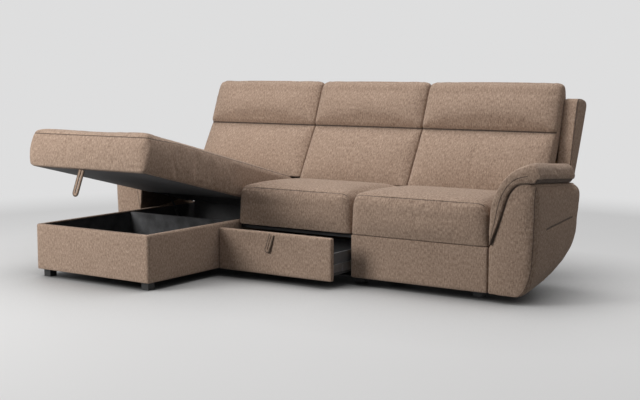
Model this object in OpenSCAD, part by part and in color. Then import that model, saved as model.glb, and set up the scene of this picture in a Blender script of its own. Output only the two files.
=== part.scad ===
// Storage sofa with a lift-up chaise seat and a drawer.
// X runs from the chaise end to the far arm, Y from front to back, Z up from the floor.
// Sizes are in millimetres. Sofa places are counted from the left front corner of
// the chaise base, and placed() moves them to the middle of the whole sofa.

/* [Layout] */
// Width of the chaise seat at the left
chaise_w = 785; // [740:5:840]
// Width of the middle seat above the drawer
middle_w = 710; // [640:5:780]
// Width of the right seat
right_w = 755; // [690:5:820]
// Depth of the chaise base in front of the body
chaise_d = 706; // [620:5:760]
// Depth of the seats from the body front to the crease at the back
seat_d = 546; // [520:2:570]
// Height of the bottom edge of the upholstery
leg_h = 40; // [30:1:60]
// Width of a foot
foot_w = 45; // [35:1:60]
// Height of the rim of the storage box
rim_z = 277; // [262:1:285]
// Height of the seam along the front edge of the seats
seat_z = 462; // [440:1:480]
// Height of the top of the back cushions
top_z = 1012; // [960:2:1060]

/* [Boards and covers] */
// Thickness of the side, front and rear boards
board_t = 18; // [15:1:22]
// Thickness of the padded cloth over a board
cover_t = 9; // [6:0.5:12]
// Thickness of thin boards such as floors and dust covers
thin_t = 4; // [3:0.5:6]
// Thickness of the black lining in the storage box
lining_t = 1.5; // [1:0.5:3]
// Gap between neighbouring pieces
gap = 0.3; // [0.2:0.05:0.6]
// Width of a web strap
strap_w = 50; // [35:1:60]
// Thickness of a web strap
strap_t = 2; // [1.5:0.25:3]

/* [Lid] */
// Angle in degrees at which the chaise lid stands open
lid_angle = 13.8; // [4:0.2:30]
// Distance that the lid's nose stands out past the chaise base
lid_nose = 40; // [15:1:55]
// Distance that the foam at the nose spreads past the left side of the base
lid_flare = 40; // [0:1:45]
// Height of the lid's timber frame
lid_rail_h = 50; // [40:1:60]
// Thickness of the foam around the lid's frame
lid_foam = 22; // [16:1:30]
// Height of the crown on top of the lid and the seats
crown = 16; // [6:1:24]
// Diameter of a hinge pin
pin_d = 8; // [6:0.5:10]
// Radius of the lid anchor and of the base anchor of a strut about the hinge
strut_r = 260; // [240:2:270]
// Outer diameter of a gas strut's cylinder
strut_d = 20; // [16:1:21]
// Diameter of a gas strut's rod
rod_d = 8; // [6:0.5:10]

/* [Drawer] */
// Distance that the drawer stands open
drawer_out = 170; // [60:5:220]
// Gap between the drawer front and the seat above it
drawer_top_gap = 3; // [2:0.5:8]
// Gap between the shut drawer and the board behind it
drawer_back_gap = 9; // [5:1:60]
// Height of the drawer's sides
drawer_side_h = 110; // [85:2:140]
// Thickness of a drawer side
drawer_t = 15; // [12:1:18]
// Height of a runner
runner_h = 45; // [36:1:50]
// Thickness of a closed runner
runner_t = 12.7; // [12:0.1:15]
// Thickness of a runner's sheet steel
runner_sheet = 1.2; // [1:0.1:1.6]

/* [Arms] */
// Width of an arm at its side panel
arm_w = 234; // [200:2:260]
// Height of the top of an arm pad
arm_z = 655; // [610:5:680]
// Distance that the left arm's front stands back from the body front
arm_back = 110; // [80:5:160]
// Gap between the right seat and the arm beside it
arm_gap = 6; // [4:1:12]
// Thickness of the plywood in an arm
ply_t = 15; // [12:1:18]

/* [Back] */
// Slope of the back, as run over rise
lean_share = 0.408; // [0.34:0.01:0.46]
// Thickness of the back frame
back_t = 75; // [60:1:90]
// Distance from the top of the cushions down to the top of the back frame
frame_drop = 107; // [80:1:150]
// Height of the headrest part of a back cushion
head_h = 258; // [220:2:300]
// Width of the right wing
wing_w = 84; // [60:2:110]
// Width of the left side panel of the back
wing_left_w = 40; // [30:1:44]
// Depth of the sewn channel below the headrest part
channel_d = 13; // [6:1:18]

/* [Hidden] */

cut = 1;              // overrun of every cut past a face
round_fn = 48;        // facets of pins, bores and bolts
loose = 0.4;          // a bore is this much wider than its pin

// Places across the sofa
x_mid = chaise_w;                 // chaise seat ends, middle seat begins
x_right = chaise_w + middle_w;    // middle seat ends, right seat begins
x_end = x_right + right_w;        // right seat ends
x_left_in = cover_t + board_t;    // inner face of the chaise's left board
x_right_out = x_mid - cover_t;
x_right_in = x_right_out - board_t;
x_divider = x_right - board_t / 2;
x_divider_end = x_divider + board_t;
x_body_end = x_end + arm_gap - gap;     // outer face of the right end board
x_end_board = x_body_end - board_t;

// Places from front to back
y_body = chaise_d;                // front of the body and of its panels
y_crease = chaise_d + seat_d;     // crease between the seats and the back
rear_in = 30;                     // rear board stands this far before the crease
y_board = y_crease - rear_in;     // front of the body's rear board
y_board_rear = y_board + board_t;
y_chaise_rear = y_board_rear;     // front of the chaise's rear board
y_chaise_end = y_chaise_rear + board_t;
y_panel_rear = y_body + cover_t + board_t;    // rear of a front panel or a shut drawer front
y_divider = y_body - board_t - cover_t;

// Heights
rim_t = 7;                        // padding on top of the rim
deck_drop = 19;                   // seat decks lie this far below the rim
deck_h = 22;                      // height of a seat deck
z_board = leg_h + thin_t;         // boards stand above the dust cover
z_rim_board = rim_z - rim_t;
z_deck = rim_z - deck_drop;       // top of the seat decks
deck_z0 = z_deck - deck_h;
z_seat = z_deck + gap;

// Outward swell along a side, 0 at both ends and 1 in the middle
function swell(t) = 4 * t * (1 - t);
// Swell across a width, flat over the middle and 0 at the ends
function fullness(t) = 1 - pow(abs(2 * t - 1), 3);
corner_share = 0.42;  // a corner takes at most this share of a side
// Points of a corner rounded over a length r, from the side a-v to the side v-b
function corner_points(a, v, b, r, n) = let (
    p = v + (a - v) / norm(a - v) * min(r, norm(a - v) * corner_share),
    q = v + (b - v) / norm(b - v) * min(r, norm(b - v) * corner_share))
    [for (i = [0:n]) let (t = i / n) pow(1 - t, 2) * p + 2 * t * (1 - t) * v + t * t * q];
// Points between two corners, swelling outward by a crown
function side_points(p, q, bulge, n) = let (d = q - p, out = [d[1], -d[0]] / norm(d))
    [for (i = [1:n - 1]) p + d * i / n + out * bulge * swell(i / n)];
// A closed counterclockwise outline: corners [point, radius, crown of the next side]
function outline(c, corner_n, side_n) = let (n = len(c),
    round = [for (i = [0:n - 1]) corner_points(c[(i + n - 1) % n][0], c[i][0],
        c[(i + 1) % n][0], c[i][1], corner_n)])
    [for (i = [0:n - 1]) each concat(round[i],
        side_points(round[i][corner_n], round[(i + 1) % n][0], c[i][2], side_n))];
// Triangles that close a stack of rings of m points, with a middle point at each end
function stack_faces(n, m) = concat(
    [for (i = [0:n - 2], j = [0:m - 1]) [i * m + j, (i + 1) * m + j, i * m + (j + 1) % m]],
    [for (i = [0:n - 2], j = [0:m - 1]) [(i + 1) * m + j, (i + 1) * m + (j + 1) % m,
        i * m + (j + 1) % m]],
    [for (j = [0:m - 1]) [n * m, j, (j + 1) % m]],
    [for (j = [0:m - 1]) [n * m + 1, (n - 1) * m + (j + 1) % m, (n - 1) * m + j]]);
function middle(ring) = [for (k = [0:2]) [for (p = ring) p[k]] * [for (p = ring) 1] / len(ring)];

// Where the rings of a cushion stand across its width, as shares of its end
// rounding, and how far each ring is drawn in there, as a share of that rounding
end_shares = [0, 0.12, 0.38, 1];
end_n = len(end_shares);
function drawn_share(s) = 1 - sqrt(1 - pow(1 - s, 2));
// Rings: [place from the left end, how far it is drawn in, place as a share of the width]
function stations(w, r, mid_n) = concat(
    [for (s = end_shares) [s * r, drawn_share(s) * r, s * r / w]],
    [for (i = [1:mid_n - 1]) let (x = r + (w - 2 * r) * i / mid_n) [x, 0, x / w]],
    [for (i = [1:end_n]) let (s = end_shares[end_n - i]) [w - s * r, drawn_share(s) * r, 1 - s * r / w]]);
// A cushion over a stack of rings, its end faces swelling by a dome. Where the left
// end is not flat, its middle is moved in by a length.
module cushion(dome, rings, left_in = 0) polyhedron(
    points = concat([for (ring = rings) each ring],
        [middle(rings[0]) + [left_in - dome, 0, 0], middle(rings[len(rings) - 1]) + [dome, 0, 0]]),
    faces = stack_faces(len(rings), len(rings[0])), convexity = 6);

// Puts sofa places in the part's own frame
module placed() translate([-mid_x, -mid_y, 0]) children();
// A box from one corner to the other
module span(a, b) translate(a) cube(b - a);
// An outline in Y and Z, drawn through a width along X
module side_slab(x0, x1, points) translate([x0, 0, 0]) rotate([90, 0, 90])
    linear_extrude(x1 - x0) polygon(points);
// A round bar along X
module bar_x(x0, x1, y, z, d) translate([x0, y, z]) rotate([0, 90, 0])
    cylinder(h = x1 - x0, d = d, $fn = round_fn);

cloth = [0.62, 0.53, 0.46];
timber = [0.80, 0.68, 0.50];
black = [0.10, 0.10, 0.11];
steel = [0.62, 0.64, 0.67];

// The arms are drawn in their own space, with X outward from beside the seat
arm_in = 4;                       // place of an arm's inner face in that space
arm_tail = 8;                     // arms run this far past the crease
arm_rear = y_crease + arm_tail;
arm_y_right = y_body;
arm_y_left = y_body + arm_back;
module right_arm() placed() translate([x_body_end + gap - arm_in, 0, 0]) children();
module left_arm() placed() translate([arm_in - gap, 0, 0]) mirror([1, 0, 0]) children();

// Bolts hold each arm on the board beside it
bolt_d = 8;
bolt_head_d = 16;
bolt_head_h = 5;
bolt_over = 10;                   // a bolt runs this far past the arm's plywood
bolt_inset = 90;                     // front bolt behind the front of the left arm
bolt_drop = 20;                   // bolts below the seat decks
bolt_ys = [arm_y_left + bolt_inset, arm_rear - 2 * bolt_inset];
bolt_z = deck_z0 - bolt_drop;
module bolt_bores(x0, x1) for (y = bolt_ys) bar_x(x0, x1, y, bolt_z, bolt_d + loose);

// Chaise base

module chaise_left_board() color(timber) placed() difference() {
    span([cover_t, cover_t, z_board], [x_left_in, y_chaise_end, z_rim_board]);
    bolt_bores(cover_t - cut, x_left_in + cut);
}

module chaise_right_board() color(timber) placed()
    span([x_right_in, cover_t, z_board], [x_right_out, y_chaise_end, z_rim_board]);

module chaise_front_board() color(timber) placed()
    span([x_left_in, cover_t, z_board], [x_right_in, cover_t + board_t, z_rim_board]);

module chaise_divider_board() color(timber) placed()
    span([x_left_in, y_divider, z_board], [x_right_in, y_divider + board_t, z_rim_board]);

module chaise_rear_board() color(timber) placed()
    span([x_left_in, y_chaise_rear, z_board], [x_right_in, y_chaise_end, hinge_z - 2 * gap]);

bottom_t = board_t / 2;
module chaise_bottom_board() color(timber) placed()
    span([x_left_in, cover_t + board_t, z_board], [x_right_in, y_divider, z_board + bottom_t]);

// The padded cloth covers the outside of the base and folds over its rim
module chaise_cover() color(cloth) placed() difference() {
    span([0, 0, leg_h], [x_mid, y_chaise_end, rim_z]);
    span([cover_t, cover_t, leg_h - cut], [x_right_out, y_chaise_end + cut, z_rim_board]);
    span([x_left_in, cover_t + board_t, z_rim_board - cut],
        [x_right_in, y_chaise_end + cut, rim_z + cut]);
    bolt_bores(-cut, cover_t + cut);
}

lining_z = z_board + bottom_t;
module storage_lining() color(black) placed() difference() {
    span([x_left_in, cover_t + board_t, lining_z], [x_right_in, y_divider, z_rim_board]);
    span([x_left_in + lining_t, cover_t + board_t + lining_t, lining_z + lining_t],
        [x_right_in - lining_t, y_divider - lining_t, z_rim_board + cut]);
}

// Body base

module seat_divider_board() color(timber) placed()
    span([x_divider, y_panel_rear + gap, z_board], [x_divider_end, y_board, deck_z0]);

module right_end_board() color(timber) placed() difference() {
    span([x_end_board, y_panel_rear, z_board], [x_body_end, y_board, deck_z0]);
    bolt_bores(x_end_board - cut, x_body_end + cut);
}

module body_rear_board() color(timber) placed()
    span([x_mid, y_board, z_board], [x_body_end, y_board_rear, deck_z0]);

panel_in = 4;                     // right panel in from the drawer's edge
panel_end_in = 2;                 // right panel in from the seat's end
panel_drop = 2;                   // right panel below the seat deck's top
panel_x0 = x_right + panel_in;
panel_x1 = x_end - panel_end_in;
panel_top = z_deck - panel_drop;
module right_front_board() color(timber) placed()
    span([panel_x0 + cover_t, y_body + cover_t, z_board],
        [panel_x1 - cover_t, y_panel_rear, panel_top - cover_t]);

// A padded cover over a front board: rounded outer edges, open at the back
module front_cover(x0, x1, y, z0, z1, depth) difference() {
    side_slab(x0, x1, [[y + cover_t, z0], [y + depth, z0], [y + depth, z1], [y + cover_t, z1],
        [y + cover_t / 3, z1 - cover_t / 3], [y, z1 - cover_t], [y, z0 + cover_t],
        [y + cover_t / 3, z0 + cover_t / 3]]);
    span([x0 + cover_t, y + cover_t, z0 - cut], [x1 - cover_t, y + depth + cut, z1 - cover_t]);
}

module right_front_cover() color(cloth) placed()
    front_cover(panel_x0, panel_x1, y_body, leg_h, panel_top, cover_t + board_t);

// The seat decks: a timber frame under each seat, on the boards
deck_rail_w = 45;
deck_y0 = y_panel_rear + gap;
deck_mid = (x_divider + x_divider_end) / 2;
module deck_frame(x0, x1) difference() {
    span([x0, deck_y0, deck_z0], [x1, y_board_rear, z_deck - strap_t]);
    span([x0 + deck_rail_w, deck_y0 + deck_rail_w, deck_z0 - cut],
        [x1 - deck_rail_w, y_board_rear - deck_rail_w, z_deck + cut]);
}
module seat_deck_rails() color(timber) placed() {
    deck_frame(x_mid + gap, deck_mid - gap);
    deck_frame(deck_mid + gap, x_body_end);
}

// Web straps run from front to back over each deck
strap_n = 6;
module seat_webbing() color(black) placed()
    for (d = [[x_mid, deck_mid], [deck_mid, x_body_end]], i = [0:strap_n - 1])
        let (pitch = (d[1] - d[0]) / strap_n, x = d[0] + pitch * (i + 1 / 2))
        span([x - strap_w / 2, deck_y0, z_deck - strap_t], [x + strap_w / 2, y_board_rear, z_deck]);

// Steel angles hold the decks on the boards
angle_l = 40;
angle_t = 2;
module angle_bracket(x, dir, y) {
    for (s = [[angle_t, angle_l], [angle_l, angle_t]])
        span([min(x, x + dir * s[0]), y, deck_z0 - s[1]], [max(x, x + dir * s[0]), y + angle_l, deck_z0]);
}
module deck_brackets() color(steel) placed() for (y = [deck_y0 + angle_l, y_board_rear - 3 * angle_l]) {
    angle_bracket(x_divider, -1, y);
    angle_bracket(x_divider_end, 1, y);
    angle_bracket(x_end_board, -1, y);
}

// A seat cushion: sewn edge along its front, a crowned top, rounded ends
cushion_r = 40;                   // rounding of the cushion's top rear edge
seat_end_r = 46;                  // rounding of its ends
seat_lip = 6;                     // front stands past the body's front
seat_off = 2;                     // rear stands before the crease
seat_dip = 6;                     // rear lies below the front seam
bead = 4;                         // sewn edge stands above the seam
bead_under = 3;                   // crease below the sewn edge
seat_front = y_body - seat_lip;
seat_rear = y_crease - seat_off;
seat_ring_n = 4;
function seat_ring(draw, share) = let (e = draw, f = fullness(share)) outline([
    [[seat_front + e / 3, z_seat], cushion_r / 4, 0],
    [[seat_rear, z_seat], cushion_r / 4, 0],
    [[seat_rear, seat_z - seat_dip - e / 2], cushion_r, crown * f],
    [[seat_front + e / 2 + cushion_r / 2, seat_z + bead - e], cushion_r / 8, 0],
    [[seat_front + e / 2 + cushion_r / 3, seat_z - bead_under - e], cushion_r / 8, cushion_r / 8],
    [[seat_front + e / 2, seat_z - cushion_r - e], cushion_r, crown * f / 3]], 2, 4);
function seat_rings(x0, x1, dome) = let (a = x0 + dome, w = x1 - x0 - 2 * dome)
    [for (s = stations(w, seat_end_r, seat_ring_n)) [for (p = seat_ring(s[1], s[2])) [a + s[0], p[0], p[1]]]];
module seat_cushion(x0, x1) cushion(seat_end_r / 8, seat_rings(x0 + gap, x1 - gap, seat_end_r / 8));

module middle_seat_cushion() color(cloth) placed() seat_cushion(x_mid, x_right);
module right_seat_cushion() color(cloth) placed() seat_cushion(x_right, x_end);

module underside_cover() color(black) placed() {
    span([cover_t, cover_t, leg_h], [x_right_out, y_chaise_end, z_board]);
    span([x_mid, y_panel_rear + gap, leg_h], [x_body_end, y_board_rear, z_board]);
}

// Square black feet under the base
foot_in = 26;                     // feet in from the edges of the upholstery
foot_plate_t = 3;
foot_plate_over = 6;              // a plate is this much wider than its foot on each side
foot_rear = y_board - foot_w;
foot_places = [[foot_in, foot_in], [x_mid - foot_in - foot_w, foot_in],
    [foot_in, foot_rear], [x_mid - foot_in - foot_w, foot_rear],
    [x_right - foot_w / 2, y_body + 2 * foot_w], [x_right - foot_w / 2, foot_rear],
    [x_end - foot_in - 2 * foot_w, y_body + 2 * foot_w], [x_end - foot_in - 2 * foot_w, foot_rear]];
module feet() color(black) placed() for (p = foot_places)
    span([p[0], p[1], 0], [p[0] + foot_w, p[1] + foot_w, leg_h - foot_plate_t]);

module foot_plates() color(steel) placed() for (p = foot_places)
    span([p[0] - foot_plate_over, p[1] - foot_plate_over, leg_h - foot_plate_t],
        [p[0] + foot_w + foot_plate_over, p[1] + foot_w + foot_plate_over, leg_h]);

// Arms

// The arch of an arm pad, from the tail beside the seat to the outer edge:
// [outer point, inner point], as shares of the arm's width and height
pad_shares = [
    [[0.040, 0.417], [0.070, 0.417]], [[0.032, 0.490], [0.155, 0.497]],
    [[0.038, 0.579], [0.245, 0.583]], [[0.064, 0.680], [0.325, 0.668]],
    [[0.150, 0.775], [0.405, 0.752]], [[0.296, 0.864], [0.500, 0.810]],
    [[0.500, 0.937], [0.620, 0.844]], [[0.705, 0.976], [0.755, 0.856]],
    [[0.910, 0.998], [0.905, 0.860]], [[1.030, 0.976], [0.985, 0.866]],
    [[1.075, 0.930], [1.040, 0.890]]];
pad_n = len(pad_shares);
pad_over = 14;                    // pad stands out past the arm's front
pad_back = 90;                    // pad stops short of the arm's rear
pad_tip = 60;                     // length over which a pad's rear end rounds off
pad_sink = 14;                    // pad's rear end lies this much lower
pad_clear = 0.4;                  // seam between the pad and the arm
pad_thin_share = 0.6;             // thinning at the very ends
pad_mid_n = 4;
function pad_point(s) = [s[0] * arm_w, s[1] * arm_z];
// One ring across the arch, thinned by a share towards the arch's middle line
function pad_ring(y, thin, low) = let (
    outs = [for (s = pad_shares) pad_point(s[0])],
    ins = [for (s = pad_shares) pad_point(s[1])],
    mids = (outs + ins) / 2,
    tops = mids + (outs - mids) * thin,
    lows = mids + (ins - mids) * thin)
    concat([for (i = [0:pad_n - 1]) [tops[i][0], y, tops[i][1] - low * min(1, i / pad_n)]],
        [for (i = [pad_n - 1:-1:0]) [lows[i][0], y, lows[i][1] + (1 - thin) * low * i / pad_n]]);
function pad_thin(s) = 1 - pad_thin_share * drawn_share(s);
function pad_rings(y0, y1) = concat(
    [for (s = end_shares) pad_ring(y0 + s * pad_tip / 2, pad_thin(s), 0)],
    [for (i = [1:pad_mid_n - 1])
        pad_ring(y0 + pad_tip / 2 + (y1 - y0 - 3 * pad_tip / 2) * i / pad_mid_n, 1, 0)],
    [for (i = [1:end_n]) let (s = end_shares[end_n - i])
        pad_ring(y1 - s * pad_tip, pad_thin(s), pad_sink * drawn_share(s))]);
module pad_shape(y0, y1) let (rings = pad_rings(y0, y1)) polyhedron(
    points = concat([for (ring = rings) each ring], [middle(rings[0]), middle(rings[len(rings) - 1])]),
    faces = stack_strip_faces(len(rings), 2 * pad_n), convexity = 8);
// The arch is not convex, so its ends are closed by strips between its two curves
function strip_faces(base, m, flip) = [for (i = [0:m / 2 - 2]) let (a = base + i, b = base + i + 1,
    c = base + m - 1 - i, d = base + m - 2 - i) each flip ? [[a, c, b], [b, c, d]] : [[a, b, c], [b, d, c]]];
function stack_strip_faces(n, m) = concat(
    [for (i = [0:n - 2], j = [0:m - 1]) each [[i * m + j, (i + 1) * m + j, i * m + (j + 1) % m],
        [(i + 1) * m + j, (i + 1) * m + (j + 1) % m, i * m + (j + 1) % m]]],
    strip_faces(0, m, false), strip_faces((n - 1) * m, m, true));

// The arm below its pad, seen from the front: the pad's lower curve, the outer
// side and the bottom, which is drawn in at the foot
arm_side_shares = [[1.000, 0.835], [0.985, 0.470], [0.940, 0.240], [0.855, 0.118], [0.740, 0.072]];
arm_foot_share = 0.65;            // the bottom is flat up to this share of the width
function arm_front_outline() = concat(
    [[arm_in, leg_h], [arm_in, pad_shares[0][0][1] * arm_z]],
    [for (i = [0:pad_n - 2]) pad_point(pad_shares[i][1]) + [pad_clear, -pad_clear]],
    [for (s = arm_side_shares) [s[0] * arm_w, s[1] * arm_z]],
    [[arm_foot_share * arm_w, leg_h]]);
// The arm seen from the side: [share of the length from front to rear, share of the height]
arm_length_shares = [[0.14, 0.070], [0.35, 0.100], [0.56, 0.140], [0.76, 0.205], [0.90, 0.30],
    [0.97, 0.43], [1.00, 0.72], [0.995, 0.80], [0.96, 0.862], [0, 0.862]];
function arm_side_outline(y0, y1) = concat([[y0, leg_h]],
    [for (s = arm_length_shares) [y0 + s[0] * (y1 - y0), s[1] * arm_z]]);
// The arm seen from above, with its outer front corner rounded
arm_corner_r = 30;
arm_corner_n = 4;
arm_waist = 24;                   // the rear is this much narrower
function arm_plan(y0, y1) = concat([[0, y1], [0, y0]],
    [for (i = [0:arm_corner_n]) let (a = 90 * i / arm_corner_n)
        [arm_w - arm_corner_r + arm_corner_r * sin(a), y0 + arm_corner_r - arm_corner_r * cos(a)]],
    [[arm_w, (y0 + y1) / 2], [arm_w - arm_waist, y1]]);

// The timber frame inside an arm
core_in = 42;                     // frame in from the arm's front and bottom
core_x_shares = [0.50, 0.74];     // sides of the frame in the arm's width
core_length_shares = [0.45, 0.78, 0.86];
core_height_shares = [0.30, 0.50, 0.74];
brace_length_shares = [0.62, 0.80];
brace_height_shares = [0.55, 0.62];
core_x0 = core_x_shares[0] * arm_w;
core_x1 = core_x_shares[1] * arm_w;
core_top = core_height_shares[2] * arm_z;
function core_outline(y0, y1, c) = let (l = y1 - y0, s = core_length_shares, h = core_height_shares) [
    [y0 + core_in / 2 - c, leg_h + core_in / 2 - c],
    [y0 + l * s[0], leg_h + core_in - c], [y0 + l * s[1] + c, h[0] * arm_z],
    [y0 + l * s[2] + c, h[1] * arm_z], [y0 + l * s[2] + c, core_top + c],
    [y0 + core_in / 2 - c, core_top + c]];
module arm_shell(y0, y1) difference() {
    intersection() {
        translate([0, y1, 0]) rotate([90, 0, 0]) linear_extrude(y1 - y0) polygon(arm_front_outline());
        side_slab(0, arm_w + cut, arm_side_outline(y0, y1));
        linear_extrude(arm_z) polygon(arm_plan(y0, y1));
    }
    side_slab(core_x0 - gap, core_x1 + gap, core_outline(y0, y1, gap));
    bolt_bores(-cut, core_x0);
}
module arm_core(y0, y1) {
    difference() {
        side_slab(core_x0, core_x0 + ply_t, core_outline(y0, y1, 0));
        bolt_bores(core_x0 - cut, core_x0 + ply_t + cut);
    }
    side_slab(core_x1 - ply_t, core_x1, core_outline(y0, y1, 0));
    for (z = [leg_h + core_in, (leg_h + core_top) / 2, core_top - core_in])
        span([core_x0 + ply_t, y0 + core_in, z], [core_x1 - ply_t, y0 + core_in * 2, z + core_in * 3 / 4]);
    span([core_x0 + ply_t, y0 + (y1 - y0) * brace_length_shares[0], brace_height_shares[0] * arm_z],
        [core_x1 - ply_t, y0 + (y1 - y0) * brace_length_shares[1], brace_height_shares[1] * arm_z]);
}

module arm_right_frame() color(timber) right_arm() arm_core(arm_y_right, arm_rear);
module arm_right_cover() color(cloth) right_arm() arm_shell(arm_y_right, arm_rear);
module arm_right_pad() color(cloth) right_arm() pad_shape(arm_y_right - pad_over, arm_rear - pad_back);
module arm_left_frame() color(timber) left_arm() arm_core(arm_y_left, arm_rear);
module arm_left_cover() color(cloth) left_arm() arm_shell(arm_y_left, arm_rear);
module arm_left_pad() color(cloth) left_arm() pad_shape(arm_y_left - pad_over, arm_rear - pad_back);

// Bolts in an arm's space, their heads seated on the inner face of the board
module bolts(x_seat) for (y = bolt_ys) {
    bar_x(x_seat - bolt_head_h, x_seat, y, bolt_z, bolt_head_d);
    bar_x(x_seat, core_x0 + ply_t + bolt_over, y, bolt_z, bolt_d);
}
module arm_bolts() color(steel) {
    right_arm() bolts(arm_in - gap - board_t);
    left_arm() bolts(arm_in - gap - x_left_in);
}

// Back

// The back frame leans about a line through its front face at the floor
lean_angle = atan(lean_share);
back_in = 52;                     // that line lies this far before the crease
back_y0 = y_crease - back_in;
back_z = top_z - frame_drop;      // top of the back frame
post_w = 40;
post_u0 = 172;                    // where the posts begin, along the lean
post_u1 = back_z / cos(lean_angle);
plate_t = 5;
plate_in = plate_t + 2 * gap;     // post in from the board beside it
post_x = [x_left_in + plate_in, x_right_in - plate_in - post_w, x_divider_end + plate_in,
    x_end_board - plate_in - post_w];
// The frame's own space: X across, Y through its thickness, Z up along the lean
module leaning() translate([0, back_y0, 0]) rotate([-lean_angle, 0, 0]) children();

module back_posts() color(timber) placed() leaning() for (x = post_x)
    span([x, 0, post_u0], [x + post_w, back_t, post_u1]);

// A wing closes the side of the back beside a cushion
cushion_left = 14;                // left edge of the left back cushion
cushion_over = 18;                // right back cushion past the right seat
wing_gap = 3;
wing_low_z = 520;                 // bottom of a wing
wing_up = 16;                     // top of a wing above the frame
wing_front = 28;                  // top front of a wing before the frame
wing_foot = 48;                   // bottom front of a wing behind the frame's front
wing_top_r = 30;
wing_rear_r = 40;
wing_low_r = 6;
wing_left_x = cushion_left - wing_gap;
wing_right_x = x_end + cushion_over + wing_gap;
function wing_outline() = let (rear = back_y0 + (back_t + thin_t) / cos(lean_angle)) outline([
    [[back_y0 + lean_share * back_z - wing_front, back_z + wing_up], wing_top_r, 0],
    [[back_y0 + lean_share * wing_low_z + wing_foot, wing_low_z], wing_low_r, 0],
    [[rear + lean_share * wing_low_z, wing_low_z], wing_low_r, 0],
    [[rear + lean_share * back_z, back_z], wing_rear_r, 0]], 4, 2);
module wing_right() color(cloth) placed() side_slab(wing_right_x, wing_right_x + wing_w, wing_outline());
module wing_left() color(cloth) placed() side_slab(wing_left_x - wing_left_w, wing_left_x, wing_outline());

// Three rails join the posts, and the upper two run on to the wings
rail_h = 60;
rail_us = [post_u0 + 2 * rail_h, (post_u0 + post_u1 + rail_h) / 2, post_u1 - rail_h];
rail_ends = concat([wing_left_x + gap], [for (x = post_x) each [x, x + post_w]], [wing_right_x - gap]);
module back_rails() color(timber) placed() leaning() for (i = [0:2], j = [i == 0 ? 1 : 0:i == 0 ? 3 : 4])
    span([rail_ends[2 * j], back_t / 4, rail_us[i]],
        [rail_ends[2 * j + 1], back_t * 3 / 4, rail_us[i] + rail_h]);

back_strap_n = 5;
back_strap_u = z_deck + 3 * strap_w;
module back_webbing() color(black) placed() leaning() for (i = [0:back_strap_n - 1])
    let (u = back_strap_u + i * 2 * strap_w)
    span([post_x[0], -strap_t, u], [post_x[3] + post_w, 0, u + strap_w]);

module back_rear_panel() color(cloth) placed() leaning()
    span([wing_left_x + gap, back_t, post_u0], [wing_right_x - gap, back_t + thin_t, post_u1 + thin_t]);

// Steel brackets join the rear boards to the posts of the back: a plate beside
// the post, and a flange on the board in front of the post
bracket_low = 16;                 // bracket above the bottom of its board
bracket_foot = 42;                // length of its lower edge
bracket_reach = 100;              // length of its upper edge
bracket_t = 3;
module back_bracket(x, flange_x, rear_y) {
    side_slab(x, x + plate_t, [
        [rear_y, z_board + bracket_low], [rear_y + bracket_foot, z_board + bracket_low],
        [rear_y + bracket_reach, deck_z0], [rear_y, deck_z0]]);
    span([flange_x, rear_y, z_board + bracket_low], [flange_x + post_w, rear_y + bracket_t, deck_z0]);
}
module back_brackets() color(steel) placed() for (i = [0:3])
    back_bracket(i % 2 == 0 ? post_x[i] - gap - plate_t : post_x[i] + post_w + gap,
        i % 2 == 0 ? post_x[i] - gap : post_x[i] + gap, i < 2 ? y_chaise_end : y_board_rear);

// A back cushion in side view: lumbar part, sewn channel, headrest part.
// Its rear lies on the leaning frame.
back_end_r = 30;                  // rounding of its ends
lumbar_foot = 14;                 // the front line meets the crease this far below the seam
lumbar_in = 3;
lumbar_lean_share = 0.562;        // run over rise of the front of the lumbar part
lumbar_front_r = 30;
lumbar_rear_r = 20;
lumbar_crown = 26;
lumbar_lip = 10;                  // lumbar part stands before the channel
head_lip = 4;                     // headrest part stands before the channel
lip_h = 16;                       // height of the rounding on each side of the channel
channel_r = 3;
head_run = 76;                    // top front of the headrest behind the channel
head_top_drop = 8;
head_front_r = 60;
head_rear_r = 50;
head_rear_in = 4;
head_crown = 16;
head_top_crown = 10;
edge_drop = 5;                    // the rear leaves the frame this far below its top
head_z = top_z - head_h;
lumbar_z = seat_z - lumbar_foot;
lumbar_run = lumbar_lean_share * (head_z - lumbar_z);
head_y = y_crease + lumbar_run;
rear_off = strap_t + gap;
back_edge_z = back_z - edge_drop;
function back_rear(z) = back_y0 - rear_off / cos(lean_angle) + lean_share * z;
function back_front(z) = y_crease + (z - lumbar_z) * lumbar_run / (head_z - lumbar_z);
function back_ring(draw, share, z0) = let (e = draw, f = fullness(share), d = channel_d * f) outline([
    [[back_front(z0) + e / 2 + lumbar_in, z0 + e / 4], lumbar_front_r, 0],
    [[back_rear(z0), z0 + e / 4], lumbar_rear_r, 0],
    [[back_rear(back_edge_z), back_edge_z], lumbar_rear_r / 2, 0],
    [[back_rear(back_edge_z) - head_rear_in - e / 6, top_z - e * 2 / 3], head_rear_r, head_top_crown * f],
    [[head_y + head_run + e / 2, top_z - head_top_drop - e * 2 / 3], head_front_r, head_crown * f],
    [[head_y - head_lip + e / 2, head_z + lip_h], lip_h, 0],
    [[head_y + d + e / 2, head_z], channel_r, 0],
    [[head_y - lumbar_lip + e / 2, head_z - lip_h], lip_h, lumbar_crown * f]], 2, 3);
function back_rings(x0, x1, z0, dome) = let (a = x0 + dome, w = x1 - x0 - 2 * dome)
    [for (s = stations(w, back_end_r, 4)) [for (p = back_ring(s[1], s[2], z0)) [a + s[0], p[0], p[1]]]];
module back_cushion(x0, x1, z0) cushion(back_end_r / 8, back_rings(x0, x1, z0, back_end_r / 8));

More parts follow.
